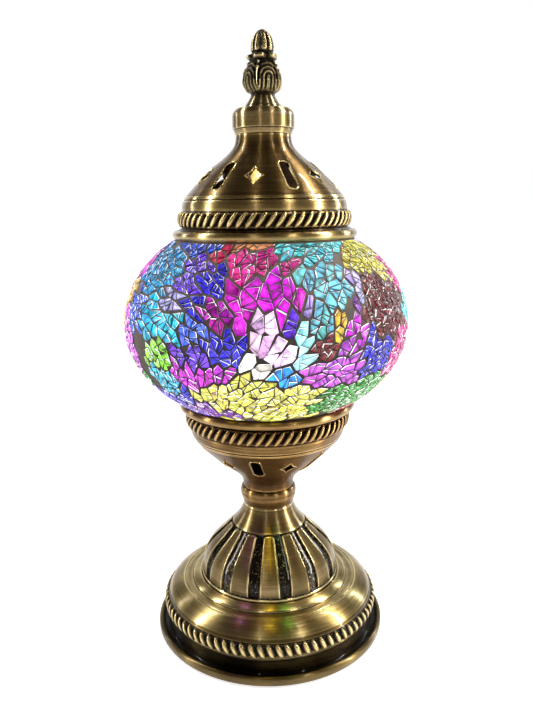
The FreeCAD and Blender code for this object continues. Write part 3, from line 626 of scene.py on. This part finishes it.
def finial_relief(angle, radius, height):
    """Leaves that wrap the bulb: a midrib, veins that arch over into a volute between two leaves and
    a tip that curls outwards. Above them, the ribs of the acorn."""
    pitch = TURN / LEAVES
    swing = angle + math.pi / 2 + math.radians(18)
    off_rib = (swing + pitch / 2) % pitch - pitch / 2
    off_volute = swing % pitch - pitch / 2
    across = np.abs(off_volute) * radius
    rise = np.maximum(height - 15.2, 0)
    far = np.hypot(across, rise * 0.95)
    vein = 0.5 + 0.5 * np.cos(TURN * (far - 0.4) / 2.1)
    rib = bell(off_rib * radius, 0, 0.62)
    groove = bell(np.abs(off_rib) * radius, 1.25, 0.5) * (height > 14)
    leafy = rising(height, 8.0, 9.6) * rising(height, 24.6, 23.2)
    push = leafy * (0.90 * vein + 0.75 * rib - 0.5 * groove - 0.50)
    rub_and_shade = leafy * (0.75 * vein + 0.4 * rib - 0.6 * groove - 0.62)
    tip = np.exp(-np.abs(off_rib * radius / 3.3) ** 4) * bell(height, 26.2, 1.5)
    tips = rising(height, 23.8, 24.6) * rising(height, 28.9, 28.3)
    push = push + tips * (2.5 * tip - 0.9)
    rub_and_shade = rub_and_shade + tips * (1.3 * tip - 0.85)
    acorn = rising(height, 28.6, 29.4) * rising(height, 39.9, 36.9)
    phase = ACORN_RIBS * angle / TURN
    ridge = 1 - (np.abs(phase - np.round(phase)) * 2) ** 2
    push = push + acorn * (ridge - 0.8) * 0.8
    rub_and_shade = rub_and_shade + acorn * (ridge * 1.2 - 0.8)
    return push, rub_and_shade


def make_finial(material):
    line = [(3.1, 0), (9.9, 0), (10.4, 0.2), (10.4, 0.8), (9.6, 1.8), (8.3, 3.6), (7.0, 5.6), (6.4, 6.9),
            (6.6, 7.7), (8.2, 8.8), (9.5, 10.6), (10.1, 12.8), (10.1, 15.0), (9.6, 17.6), (8.7, 20.2),
            (7.6, 22.6), (7.0, 24.0), (7.2, 25.4), (7.0, 27.0), (6.2, 28.2), (5.8, 28.8), (6.1, 29.6),
            (6.3, 30.8), (5.9, 33.4), (5.0, 36.2), (3.2, 38.8), (1.5, 40.0), (0.0, FINIAL_HIGH)]
    outside = even(rounded(line, 2), 0.28)
    inside = np.array([(0.0, 11.5), (3.1, 11.0)])
    wear_and_shade = line_wear(outside) + np.where(outside[:, 1] < 7.5, 0.22, 0.0)
    piece = turned("finial_brass", outside, inside, 360, finial_relief, np.clip(wear_and_shade, 0, 1))
    piece.data.transform(Matrix.Translation((0, 0, LID_COLLAR_TOP * MM)))
    dress(piece, material, "lid", "finial")


# -------------------------------- mosaic

FACE = GLASS_RADIUS + 2.8           # outside of the chips at the equator
RISE_UP, RISE_DOWN = 61.2, 58.2
EDGE_RADIUS = 51.3                  # where the mosaic ends under the rims
EDGE_ANGLE = math.acos(EDGE_RADIUS / FACE)
# Depths of a chip's corners below the mosaic's face: its back, its bevel, its face and its middle.
CHIP_BACK, CHIP_SHOULDER, CHIP_FACE, CHIP_PEAK = 2.7, 0.52, 0.24, 0.16
SMALLEST_CHIP = 0.5                 # square millimetres
FAR_SIDE, FAR_SPREAD = 62, 1.35     # past this many degrees patches spread by this to fill the gaps

# The glass colours of each CAD node of chips.
COLOURS = {
    "tiles_deep_blue": {"deep_blue": (0.005, 0.08, 0.82), "navy": (0.02, 0.01, 0.66),
                        "azure": (0.005, 0.30, 1.00)},
    "tiles_turquoise": {"teal": (0.005, 0.33, 0.74), "cyan": (0.14, 0.80, 0.92),
                        "pale_cyan": (0.24, 0.80, 0.98), "turquoise": (0.005, 0.47, 0.74),
                        "sea": (0.14, 0.52, 0.60)},
    "tiles_indigo": {"indigo": (0.13, 0.02, 0.76), "midnight": (0.02, 0.01, 0.66),
                     "cornflower": (0.05, 0.14, 0.86), "iris": (0.15, 0.03, 0.78)},
    "tiles_violet": {"lavender": (0.48, 0.40, 0.95), "blue_violet": (0.15, 0.03, 0.78),
                     "violet": (0.56, 0.01, 0.62), "purple": (0.26, 0.03, 0.52),
                     "orchid": (0.62, 0.08, 0.74)},
    "tiles_magenta": {"pink": (0.82, 0.02, 0.30), "magenta": (0.82, 0.01, 0.76), "plum": (0.46, 0.005, 0.40)},
    "tiles_orange": {"orange": (1.00, 0.32, 0.12), "honey": (0.78, 0.44, 0.04)},
    "tiles_yellow": {"yellow": (1.00, 0.88, 0.12), "amber": (0.78, 0.44, 0.04)},
    "tiles_red": {"crimson": (0.62, 0.01, 0.10), "maroon": (0.17, 0.006, 0.010)},
    "tiles_green": {"lime": (0.26, 0.82, 0.01), "green": (0.015, 0.36, 0.008)},
    "tiles_clear": {"pearl": (0.98, 0.60, 1.00), "ice": (0.34, 0.84, 1.00), "cream": (1.00, 1.00, 0.90)},
}
TONES = {tone: (node, colour) for node, tones in COLOURS.items() for tone, colour in tones.items()}

# A patch of one colour: degrees right of the front, height, half width and half height along the
# surface, and the usual size of a chip.
Patch = namedtuple("Patch", "tone turn height wide tall chip")
PATCHES = [Patch(*row) for row in (
    ("deep_blue", -39, 237, 13, 7, 4.0), ("teal", -50, 227, 18, 13, 4.2), ("indigo", -31, 226, 9, 12, 4.6),
    ("lavender", -37, 212, 7, 6, 4.4), ("navy", -28, 211, 6, 6, 5.0), ("lavender", 37, 220, 5, 9, 4.8),
    ("midnight", -22, 224, 6, 8, 4.6), ("crimson", -21, 236, 8, 6, 5.0), ("orange", -6, 239, 14, 5, 5.0),
    ("pink", -4, 231, 16, 8, 4.6), ("magenta", 0, 215, 20, 14, 7.4), ("plum", -17, 207, 9, 14, 6.0),
    ("cyan", 22, 237, 20, 8, 4.6), ("pale_cyan", 24, 222, 16, 12, 5.6), ("yellow", 59, 231, 18, 12, 3.6),
    ("maroon", 51, 207, 16, 17, 4.0), ("turquoise", -42, 203, 14, 13, 5.6),
    ("cornflower", -60, 205, 9, 11, 4.0), ("cornflower", -27, 199, 9, 7, 4.4),
    ("blue_violet", -28, 188, 9, 8, 4.0), ("navy", -14, 191, 10, 7, 4.8), ("lime", -43, 184, 11, 7, 4.4),
    ("turquoise", -43, 171, 9, 9, 4.0), ("violet", -25, 176, 17, 8, 5.0), ("navy", -40, 160, 12, 6, 4.0),
    ("purple", -28, 153, 15, 6, 3.6), ("pearl", 1, 196, 10, 14, 7.0), ("ice", 12, 194, 7, 10, 6.4),
    ("azure", 7, 178, 10, 8, 6.6), ("cream", -5, 181, 9, 5, 6.0), ("yellow", -2, 160, 34, 15, 5.2),
    ("orchid", 26, 179, 18, 12, 5.4), ("maroon", 21, 191, 8, 5, 4.4), ("violet", 33, 196, 8, 8, 5.4),
    ("purple", 36, 209, 3, 8, 4.6), ("amber", 26, 203, 5, 5, 4.6), ("sea", 19, 204, 6, 7, 4.8),
    ("navy", 44, 183, 11, 11, 3.8), ("green", 39, 159, 26, 11, 3.8), ("lavender", 17, 212, 7, 4, 5.0),
    ("blue_violet", 9, 203, 7, 4, 5.0), ("orchid", -68, 186, 9, 14, 4.6), ("pink", 66, 180, 10, 10, 4.6),
    ("honey", -80, 205, 10, 16, 5.0), ("magenta", -92, 222, 16, 12, 5.6), ("green", -82, 168, 18, 12, 4.4),
    ("azure", -104, 196, 16, 14, 5.6), ("yellow", -112, 170, 16, 12, 4.6),
    ("crimson", -122, 214, 15, 12, 5.0), ("cyan", -134, 188, 17, 14, 5.6), ("orange", -140, 228, 18, 10, 4.6),
    ("violet", -152, 208, 16, 13, 5.4), ("pearl", -148, 168, 14, 11, 5.6), ("iris", -170, 182, 17, 13, 5.0),
    ("yellow", -176, 218, 15, 12, 4.8), ("magenta", 168, 196, 16, 14, 5.6), ("lime", 172, 162, 20, 10, 4.4),
    ("deep_blue", 158, 226, 18, 12, 5.0), ("turquoise", 146, 180, 17, 13, 5.4),
    ("orange", 140, 208, 15, 12, 5.0), ("orchid", 126, 228, 18, 11, 4.8), ("ice", 124, 194, 14, 13, 5.8),
    ("maroon", 124, 166, 18, 12, 4.2), ("green", 104, 212, 15, 13, 4.8),
    ("cornflower", 102, 180, 16, 13, 5.0), ("amber", 88, 162, 16, 10, 4.4), ("pink", 84, 224, 16, 11, 4.8),
    ("cyan", 82, 197, 13, 13, 5.2), ("navy", -112, 240, 18, 6, 4.2), ("indigo", -64, 152, 16, 7, 4.0),
    ("pearl", 98, 240, 16, 6, 4.4), ("purple", -150, 150, 20, 7, 4.0), ("crimson", 64, 151, 12, 6, 4.0),
)]


def around(turn, radius, height):
    """A point at a distance from the lamp's axis, turned some degrees to the right of the front."""
    bearing = math.radians(turn - 90)
    return Vector((radius * math.cos(bearing), radius * math.sin(bearing), height))


def globe_spot(turn, angle, depth=0.0):
    """A point below the mosaic's face: turn in degrees right of the front, angle up from the equator."""
    rise = (RISE_UP if angle >= 0 else RISE_DOWN) - depth
    return around(turn, (FACE - depth) * math.cos(angle), GLOBE_MIDDLE + rise * math.sin(angle))


def globe_normal(spot):
    rise = RISE_UP if spot.z >= GLOBE_MIDDLE else RISE_DOWN
    return Vector((spot.x / FACE ** 2, spot.y / FACE ** 2, (spot.z - GLOBE_MIDDLE) / rise ** 2)).normalized()


def patch_at(spot, shake=0.0):
    """The patch that a point of the globe belongs to, and how far out it is, 1 at the patch's edge."""
    turn = math.degrees(math.atan2(spot.x, -spot.y))
    steep = math.sqrt(max(0.05, 1 - globe_normal(spot).z ** 2))
    best = None
    for patch in PATCHES:
        across = math.radians((turn - patch.turn + 180) % 360 - 180) * math.hypot(spot.x, spot.y)
        along = (spot.z - patch.height) / steep
        room = 1.0 if abs(patch.turn) < FAR_SIDE else FAR_SPREAD
        out = math.hypot(across / patch.wide, along / patch.tall) / room + shake
        if best is None or out < best[1]:
            best = (patch, out)
    return best


class Seed:
    """The middle of a sheet of glass before it is crackled, with its own frame on the globe. out is how
    far from its patch's middle it lies, and space is how far its neighbours keep from it."""

    def __init__(self, turn, angle, rng):
        self.spot = globe_spot(turn, angle)
        self.patch, self.out = patch_at(self.spot, rng.uniform(-0.14, 0.14))
        self.space = self.patch.chip * rng.choice((0.7, 0.9, 1.2, 1.5))
        self.normal = globe_normal(self.spot)
        self.side = Vector((0, 0, 1)).cross(self.normal).normalized()
        self.up = self.normal.cross(self.side)
        # The long way of the shards swings slowly to and fro over the globe.
        lean = 0.8 * math.sin(math.radians(turn) * 2.6 + 0.6) + 0.6 * math.sin(self.spot.z / 13.0 + 1.0)
        self.long_way = Vector((math.sin(lean), math.cos(lean)))

    def flat(self, place):
        gap = place - self.spot
        return Vector((gap.dot(self.side), gap.dot(self.up)))

    def squeeze(self, flat):
        """Shortens a step along the way in which the shards here are long."""
        return flat - self.long_way * (flat.dot(self.long_way) * 0.5)


def scatter_seeds(rng):
    """Seeds over the globe, as close as each patch's shards are small, and a grid to find them by."""
    tries = 26000
    grid = {}
    seeds = []
    for _ in range(tries):
        angle = rng.uniform(-EDGE_ANGLE, EDGE_ANGLE)
        # The globe is narrower towards its edges, so fewer tries are made there.
        if rng.random() > math.cos(angle) * 0.8 + 0.2:
            continue
        seed = Seed(rng.uniform(-180, 180), angle, rng)
        near = neighbours(grid, seed, 1)
        if any(seed.squeeze(seed.flat(other.spot)).length < min(seed.space, other.space) for other in near):
            continue
        grid.setdefault(grid_key(seed.spot), []).append(seed)
        seeds.append(seed)
    return seeds, grid


def grid_key(spot):
    pitch = 9.0
    return tuple(int(c // pitch) for c in spot)


def neighbours(grid, seed, away):
    """The seeds in the grid's cells around a seed, up to some cells away."""
    x, y, z = grid_key(seed.spot)
    steps = range(-away, away + 1)
    cells = [(x + dx, y + dy, z + dz) for dx in steps for dy in steps for dz in steps]
    return [other for cell in cells for other in grid.get(cell, ()) if other is not seed]


def heading(angle):
    return Vector((math.cos(angle), math.sin(angle)))


def clip(polygon, point, direction):
    """The part of a flat polygon behind a line through a point."""
    kept = []
    for index, current in enumerate(polygon):
        previous = polygon[index - 1]
        inside = (current - point).dot(direction) <= 0
        was_inside = (previous - point).dot(direction) <= 0
        if inside != was_inside:
            way = current - previous
            share = (point - previous).dot(direction) / way.dot(direction)
            kept.append(previous + way * share)
        if inside:
            kept.append(current)
    return kept


def seed_cell(seed, others):
    """The seed's cell in its tangent plane. A wider strip of cement parts it from another patch."""
    sides, widest = 16, 10.0
    polygon = [heading(TURN * k / sides) * widest for k in range(sides)]
    for other in others:
        flat = seed.flat(other.spot)
        direction = seed.squeeze(seed.squeeze(flat)).normalized()
        parting = 0.0 if other.patch is seed.patch else 0.32
        polygon = clip(polygon, flat * 0.5 - direction * parting, direction)
        if len(polygon) < 3:
            return None
    return polygon


def outward(way):
    """The direction across a polygon's side that runs this way, pointing out of the polygon."""
    return Vector((way.y, -way.x)).normalized()


def shrink(polygon, amount):
    """The polygon moved in from all its sides."""
    result = list(polygon)
    count = len(polygon)
    for index in range(count):
        start, end = polygon[index], polygon[(index + 1) % count]
        way = end - start
        if way.length < 1e-6:
            continue
        result = clip(result, start - outward(way) * amount, outward(way))
        if len(result) < 3:
            return None
    return result


def seat(corner, seed, depth):
    """A point of a seed's plane, laid on the globe at a depth below the mosaic's face."""
    place = seed.spot + seed.side * corner.x + seed.up * corner.y
    bearing = math.degrees(math.atan2(place.x, -place.y))
    rise = RISE_UP if place.z >= GLOBE_MIDDLE else RISE_DOWN
    angle = math.atan2((place.z - GLOBE_MIDDLE) / rise, math.hypot(place.x, place.y) / FACE)
    return globe_spot(bearing, angle, depth)


def area(polygon):
    total = 0.0
    for start, end in zip(polygon, polygon[1:] + polygon[:1]):
        total += start.x * end.y - start.y * end.x
    return abs(total) / 2


def middle_of(polygon):
    return sum(polygon, Vector((0, 0))) / len(polygon)


def crack(polygon, size, rng):
    """Breaks a polygon into shards along straight cracks until they are small enough."""
    if area(polygon) < size * size * rng.uniform(0.40, 1.1):
        return [polygon]
    spread = max(polygon, key=lambda corner: (corner - middle_of(polygon)).length) - middle_of(polygon)
    direction = heading(math.atan2(spread.y, spread.x) + rng.gauss(0, 0.7))
    place = middle_of(polygon) + direction * rng.uniform(-0.35, 0.35) * spread.length
    halves = [clip(polygon, place, direction), clip(polygon, place, -direction)]
    return [shard for half in halves if len(half) > 2 for shard in crack(half, size, rng)]


class MeshBuilder:
    """Collects corners and faces, each face with its corners' colours and one glow."""

    def __init__(self):
        self.corners, self.faces, self.colours, self.glow = [], [], [], []

    def add(self, spots):
        first = len(self.corners)
        self.corners.extend(tuple(spot * MM) for spot in spots)
        return list(range(first, first + len(spots)))

    def face(self, corners, colours, glow):
        self.faces.append(tuple(corners))
        self.colours.extend(colours if isinstance(colours, list) else [colours] * len(corners))
        self.glow.extend([glow] * len(corners))

    def object(self, name):
        mesh = bpy.data.meshes.new(name)
        mesh.from_pydata(self.corners, [], self.faces)
        shades = mesh.color_attributes.new("chip_colour", "FLOAT_COLOR", "CORNER")
        shades.data.foreach_set("color", [channel for colour in self.colours for channel in (*colour, 1.0)])
        mesh.attributes.new("glow", "FLOAT", "CORNER").data.foreach_set("value", self.glow)
        return make_object(name, mesh)


def bevel_look(shine, bevel, colour, glow, rng):
    """Colour and glow of one side of a chip's bevel: often a painted glint where it faces the glint way,
    painted shadow where it faces away, and a little paler elsewhere.
    """
    if shine > 0.35 and rng.random() < (0.55 if bevel > 0.2 else 0.25):
        return scaled(colour, 0.8, rng.uniform(0.7, 1.0)), 1.5
    if shine < -0.3:
        return scaled(colour, 0.35), glow * 0.6
    return scaled(colour, 0.9, 0.12), glow


def add_chip(builder, polygon, seed, colour, glow, rng):
    """A shard of glass: flat sides, darker and dimmer as painted shade in the gaps; a narrow broken edge with
    a painted glint here and there and painted shadow; and a slightly tilted face that is deeper in colour to
    one side, with a painted glow at its middle."""
    bevel = min(0.28, 0.10 * math.sqrt(area(polygon)))
    face = shrink(polygon, bevel)
    if face is None or len(face) != len(polygon):
        centre = middle_of(polygon)
        face = [centre + (corner - centre) * 0.8 for corner in polygon]
    centre = middle_of(face)
    span = max((corner - centre).length for corner in face)
    tilt = Vector((rng.uniform(-0.07, 0.07), rng.uniform(-0.07, 0.07)))
    lift = rng.uniform(-0.12, 0.1)

    def lay(corners, depth):
        spots = []
        for corner in corners:
            slant = (corner - centre).dot(tilt)
            spots.append(seat(corner, seed, max(0.02, depth + lift + slant)))
        return builder.add(spots)

    low = builder.add([seat(corner, seed, CHIP_BACK) for corner in polygon])
    shoulder = lay(polygon, CHIP_SHOULDER)
    top = lay(face, CHIP_FACE)
    peak = lay([centre], CHIP_PEAK)[0]
    builder.face(low[::-1], scaled(colour, 0.9), 0.45)
    way = heading(rng.uniform(0, TURN))
    shades = [scaled(colour, 0.80 + 0.5 * (corner - centre).dot(way) / span) for corner in face]
    # heart: the chip's middle, lighter than the face's corners: a painted glow.
    heart = scaled(colour, 1.2, 0.04)
    # glint: the way, mostly up the globe, that the bevels' painted glints face; sides facing away get painted
    # shadow.
    glint = Vector((rng.uniform(-0.8, 0.2), 1.0)).normalized()
    count = len(polygon)
    for index in range(count):
        following = (index + 1) % count
        shine = outward(polygon[following] - polygon[index]).dot(glint)
        below, middle, above = ((ring[index], ring[following]) for ring in (low, shoulder, top))
        # The sides are darker and dimmer: painted shade in the gaps between chips.
        builder.face(below + middle[::-1], scaled(colour, 0.5), 0.2)
        builder.face(middle + above[::-1], *bevel_look(shine, bevel, colour, glow, rng))
        builder.face(above + (peak,), [shades[index], shades[following], heart], glow)


def cut_sheet(seed, grid, rng):
    """The outline of a seed's sheet of glass, or nothing where it would fall outside its patch."""
    above = seed.spot.z > GLOBE_MIDDLE
    limit = GLOBE_MIDDLE + (RISE_UP if above else -RISE_DOWN) * math.sin(EDGE_ANGLE)
    near_edge = abs(limit - seed.spot.z) < 5
    if seed.out > (1.7 if near_edge else 1.3):
        return None
    others = sorted(neighbours(grid, seed, 2), key=lambda other: (other.spot - seed.spot).length)[:24]
    polygon = seed_cell(seed, others)
    if polygon is None:
        return None
    stop = Vector((0, (limit - seed.spot.z) / max(0.2, seed.up.z)))
    polygon = clip(polygon, stop, Vector((0, 1 if above else -1)))
    return shrink(polygon, rng.uniform(0.05, 0.22)) if len(polygon) > 2 else None


def make_mosaic(chip_material):
    """Every sheet of glass is cut to its place, crackled into shards and tinted, with a painted glow that is
    brighter near the bulb.
    """
    rng = random.Random(11)
    seeds, grid = scatter_seeds(rng)
    builders = {}
    for seed in seeds:
        sheet = cut_sheet(seed, grid, rng)
        if sheet is None:
            continue
        node, tone = TONES[seed.patch.tone]
        clear = node == "tiles_clear"
        warm = rng.uniform(0.8, 1.15)
        colour = tuple(min(1.0, channel * warm * rng.uniform(0.88, 1.14) + 0.003) for channel in tone)
        # lit: how near the sheet lies to the bulb's height, for the chips' painted glow.
        lit = bell(seed.spot.z, BULB_MIDDLE + 12, 46)
        for shard in crack(sheet, seed.patch.chip, rng):
            chip = shrink(shard, rng.uniform(0.12, 0.24) * (0.55 if clear else 1.0))
            if chip is None or area(chip) < SMALLEST_CHIP:
                continue
            # Painted light: the glow is strongest near the bulb and stronger through clear glass.
            glow = (0.60 + 0.75 * lit) * rng.uniform(0.5, 1.25) * (1.35 if clear else 1.0)
            shade = scaled(colour, rng.uniform(0.75, 1.15))
            add_chip(builders.setdefault(node, MeshBuilder()), chip, seed, shade, glow, rng)
    for node in sorted(builders):
        piece = builders[node].object(f"chips_{node[6:]}")
        dress(piece, chip_material, "root", node)


def make_grout(material):
    """The cement bed, trowelled a little unevenly between the chips. Their backs show on its inside."""
    edge = math.acos((EDGE_RADIUS - 2.0) / FACE)
    angles = np.linspace(-edge, edge, 160)
    depth, bottom = 0.75, 2.6

    def section(below, turns):
        height = GLOBE_MIDDLE + (np.where(turns > 0, RISE_UP, RISE_DOWN) - below) * np.sin(turns)
        return np.stack([(FACE - below) * np.cos(turns), height], 1)

    def relief(angle, radius, height):
        wave = np.sin(angle * 31 + height * 0.7) * np.sin(angle * 17 - height * 0.41 + 1.3)
        wave = wave + 0.5 * np.sin(angle * 73 + height * 1.9) * np.sin(height * 1.3 - angle * 41)
        # lit: the front of the bed at the bulb's height, where the cement is painted darker as shade beside
        # the glowing chips.
        front = np.cos(angle + math.pi / 2 - 0.1)
        lit = rising(front, 0.125, 0.75) * bell(height, BULB_MIDDLE + 4, 30)
        return wave * 0.12, 0.35 - 0.5 * lit

    wear_and_shade = np.full(len(angles), 0.35)
    piece = turned("grout_bed", section(depth, angles), section(bottom, angles[::-5]), 480, relief, wear_and_shade, 0.9)
    dress(piece, material, "root", "grout_layer")


# -------------------------------- the smaller CAD parts


def dress_cad_parts():
    """Materials for the parts that keep their CAD shape."""
    steel = plain("zinc_steel", (0.40, 0.41, 0.42), (0.62, 0.62, 0.60), 90, 1.0, (0.28, 0.45), 0.1)
    rubber = plain("rubber", (0.012, 0.012, 0.012), (0.03, 0.03, 0.028), 140, 0.0, (0.6, 0.8), 0.25)
    phenolic = plain("phenolic", (0.015, 0.014, 0.013), (0.03, 0.028, 0.026), 60, 0.0, (0.3, 0.42), 0.08)
    contact = plain("contact_brass", (0.50, 0.34, 0.12), (0.74, 0.54, 0.22), 120, 1.0, (0.22, 0.38), 0.1)
    nickel = plain("nickel", (0.52, 0.51, 0.49), (0.72, 0.71, 0.68), 150, 1.0, (0.16, 0.3), 0.08, (1, 1, 12))
    finishes = {
        "felt_pad": plain("felt", (0.015, 0.02, 0.016), (0.05, 0.055, 0.045), 420, 0.0, (0.9, 1.0), 0.9),
        "bottom_cover": steel, "lamp_tube": steel, "base_washer": steel, "base_nut": steel,
        "bowl_washer": steel, "bowl_nut": steel, "lid_washer": steel, "lid_nut": steel, "lid_stud": steel,
        "lid_spring": plain("spring_steel", (0.20, 0.21, 0.25), (0.36, 0.35, 0.34), 80, 1, (0.25, 0.4), 0.08),
        "cord_grommet": rubber, "globe_gasket": rubber, "holder_cap": phenolic, "holder_skirt": phenolic,
        "holder_insert": plain("steatite", (0.70, 0.68, 0.62), (0.84, 0.82, 0.76), 70, 0.0, (0.2, 0.35), 0.1),
        "screw_shell": contact, "centre_contact": contact, "terminal_screws": contact, "bulb_cap": nickel,
        "bulb_tip": plain("solder", (0.36, 0.36, 0.37), (0.55, 0.55, 0.55), 300, 1.0, (0.35, 0.55), 0.3),
        "bulb_insulator": plain("vitrite", (0.008, 0.006, 0.012), (0.03, 0.02, 0.04), 160,
                                roughness=(0.1, 0.2), relief=0.1),
        "bulb_glass": glowing("frosted_bulb", (1.0, 0.90, 0.74), 1.2),
        "bulb_filaments": glowing("filament", (1.0, 0.72, 0.30), 8.0),
        "bulb_stem": clear_glass("stem_glass", (0.95, 0.97, 0.97), 0.35),
        "glass_globe": clear_glass("globe_glass", (0.93, 0.96, 0.96), 0.12),
    }
    for node, material in finishes.items():
        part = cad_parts[node]
        part.data.materials.clear()
        part.data.materials.append(material)


# -------------------------------- stage


def add_light(name, data, power, tone, matrix):
    data.energy = power
    data.color = tone
    light = make_object(name, data)
    light.matrix_world = matrix
    return light


def strip_light(name, start, end, width, power, tone):
    """A long soft box that runs between two directions seen from the lamp and faces the lamp."""
    distance, heart = 1.15, Vector((0, 0, 0.20))
    first, last = Vector(start).normalized() * distance, Vector(end).normalized() * distance
    centre = (first + last) / 2
    data = bpy.data.lights.new(name, "AREA")
    data.shape = "RECTANGLE"
    data.size, data.size_y = width, (last - first).length
    away = centre.normalized()
    along = (last - first).normalized()
    side = along.cross(away).normalized()
    facing = Matrix((side, along, away)).transposed().to_4x4()
    add_light(name, data, power, tone, Matrix.Translation(centre + heart) @ facing)


def spot_light(name, place, aim, spread, soft, radius, power, tone):
    data = bpy.data.lights.new(name, "SPOT")
    data.spot_size = math.radians(spread)
    data.spot_blend = soft
    data.shadow_soft_size = radius
    turn = (Vector(aim) - Vector(place)).to_track_quat("-Z", "Y").to_matrix().to_4x4()
    light = add_light(name, data, power, tone, Matrix.Translation(place) @ turn)
    light.visible_camera = False


def make_floor():
    wide = 60.0
    mesh = bpy.data.meshes.new("floor")
    corners = [(-wide, -wide, 0), (wide, -wide, 0), (wide, wide, 0), (-wide, wide, 0)]
    mesh.from_pydata(corners, [], [(0, 1, 2, 3)])
    floor = make_object("floor", mesh)
    floor.data.materials.append(glowing("light_table", (0.90, 0.90, 0.90), 0.78))


def make_lights():
    """Soft boxes whose streaks run up the brass, a beam from the bulb into the lid, and the coloured
    light that the underside of the mosaic throws on the foot."""
    white, cream, amber = (1.0, 1.0, 1.0), (1.0, 0.97, 0.92), (1.0, 0.93, 0.85)
    for name, start, end, width, power, tone in (
            ("left_low", (-0.95, -0.20, -0.12), (-0.83, -0.07, 0.48), 0.035, 3.8, white),
            ("left_high", (-0.83, -0.07, 0.48), (-0.46, 0.36, 0.81), 0.04, 3.8, white),
            ("right_low", (0.94, -0.27, -0.12), (0.84, -0.08, 0.45), 0.05, 7.0, cream),
            ("right_high", (0.84, -0.08, 0.45), (0.44, 0.34, 0.83), 0.055, 7.0, cream),
            ("front_low", (-0.18, -0.96, 0.10), (-0.17, -0.80, 0.55), 0.02, 0.45, amber),
            ("front_high", (-0.17, -0.80, 0.55), (-0.12, -0.12, 0.97), 0.02, 0.45, amber),
            ("door_low", (0.52, -0.84, 0.05), (0.48, -0.66, 0.55), 0.02, 1.1, amber),
            ("door_high", (0.48, -0.66, 0.55), (0.30, -0.05, 0.95), 0.02, 1.1, amber),
            ("far_right", (0.90, 0.40, 0.0), (0.62, 0.62, 0.55), 0.06, 3.0, (0.85, 0.93, 1.0)),
            ("far_left", (-0.92, 0.32, 0.0), (-0.66, 0.56, 0.55), 0.05, 1.2, (0.9, 0.95, 1.0))):
        strip_light(name, start, end, width, power, tone)
    bulb_top = (0, -0.004, (BULB_MIDDLE + 26) * MM)
    lid_wall = (-0.006, 0.033, (LID_RIM + 33.5) * MM)
    spot_light("bulb_light", bulb_top, lid_wall, 15, 0.5, 0.004, 4.0, (1.0, 0.95, 0.86))
    for name, turn, tone, power in (("spill_yellow", 0, (1.0, 0.80, 0.05), 0.032),
                                    ("spill_green", 31, (0.20, 1.0, 0.10), 0.022),
                                    ("spill_violet", -52, (0.60, 0.25, 1.0), 0.022)):
        place = around(turn, 0.063, 0.146)
        spot_light(name, place, place - Vector((0, 0, 1)), 70, 0.6, 0.007, power, tone)


def make_room():
    """A room that is dark in front of the lamp and bright behind it, and plain white where it shows."""
    world = bpy.data.worlds.new("studio")
    bpy.context.scene.world = world
    world.use_nodes = True
    tree = world.node_tree
    place = add_node(tree, "ShaderNodeTexCoord", "Generated", {})
    behind = add_node(tree, "ShaderNodeSeparateXYZ", "Y", {0: place})
    tones = (0.0, (0.045, 0.035, 0.028)), (0.70, (0.15, 0.13, 0.115)), (0.86, 1.0), (1.0, 1.0)
    room = add_ramp(tree, behind, tones)
    seen = add_node(tree, "ShaderNodeLightPath", "Is Camera Ray", {})
    inputs = {0: seen, 6: room, 7: (1.0, 1.0, 1.0, 1.0)}
    shown = add_node(tree, "ShaderNodeMix", 2, inputs, data_type="RGBA")
    join(tree, shown, tree.nodes["Background"].inputs["Color"])


def make_camera():
    """The camera stands close in front of the lamp, above its middle, and looks down a little."""
    place, downward, roll = (0, -0.392, 0.2591), 12.74, -0.80
    data = bpy.data.cameras.new("camera")
    data.lens = 34.42
    data.sensor_width = 36
    camera = make_object("camera", data)
    pitched = Matrix.Rotation(math.radians(90 - downward), 4, "X")
    rolled = Matrix.Rotation(math.radians(roll), 4, "Z")
    camera.matrix_world = Matrix.Translation(place) @ pitched @ rolled
    bpy.context.scene.camera = camera
    bpy.context.scene.view_settings.view_transform = "Standard"


# -------------------------------- build

lid_brass = brass("lid_brass", (0.012, 0.007, 0.004), (0.19, 0.116, 0.036), (0.68, 0.52, 0.21))
foot_brass = brass("foot_brass", (0.010, 0.007, 0.004), (0.22, 0.150, 0.050), (0.70, 0.56, 0.25))
# The bowl's brass is a darker, warmer copy of the lid's: painted shade on the lamp's underside.
bowl_brass = brass("bowl_brass", (0.010, 0.005, 0.003), (0.120, 0.060, 0.019), (0.50, 0.32, 0.115),
                   lacquer=0.12)
cast_brass = brass("cast_brass", (0.012, 0.009, 0.006), (0.27, 0.185, 0.072), (0.78, 0.64, 0.33),
                   roughness=(0.36, 0.26), glint_flecks=0.7)
finial_brass = brass("finial_brass", (0.008, 0.006, 0.003), (0.100, 0.072, 0.032), (0.42, 0.34, 0.17),
                     lacquer=0.12)
make_foot(foot_brass)
make_pedestal(cast_brass)
make_stamping("bowl_brass", bowl_brass, "root", "bowl", BOWL_RIM, -1, -70.5)
make_stamping("lid_brass", lid_brass, "lid", "lid_dome", LID_RIM, 1, -98.3)
make_collar("bowl_collar_brass", bowl_brass, "root", "bowl_collar", BOWL_RIM, -1, BOWL_COLLAR_END, 5.4)
make_collar("lid_collar_brass", cast_brass, "lid", "lid_collar", LID_RIM, 1, LID_COLLAR_END, 3.2)
make_finial(finial_brass)
make_mosaic(chip_glass())
make_grout(cement())
dress_cad_parts()
make_floor()
make_lights()
make_room()
make_camera()
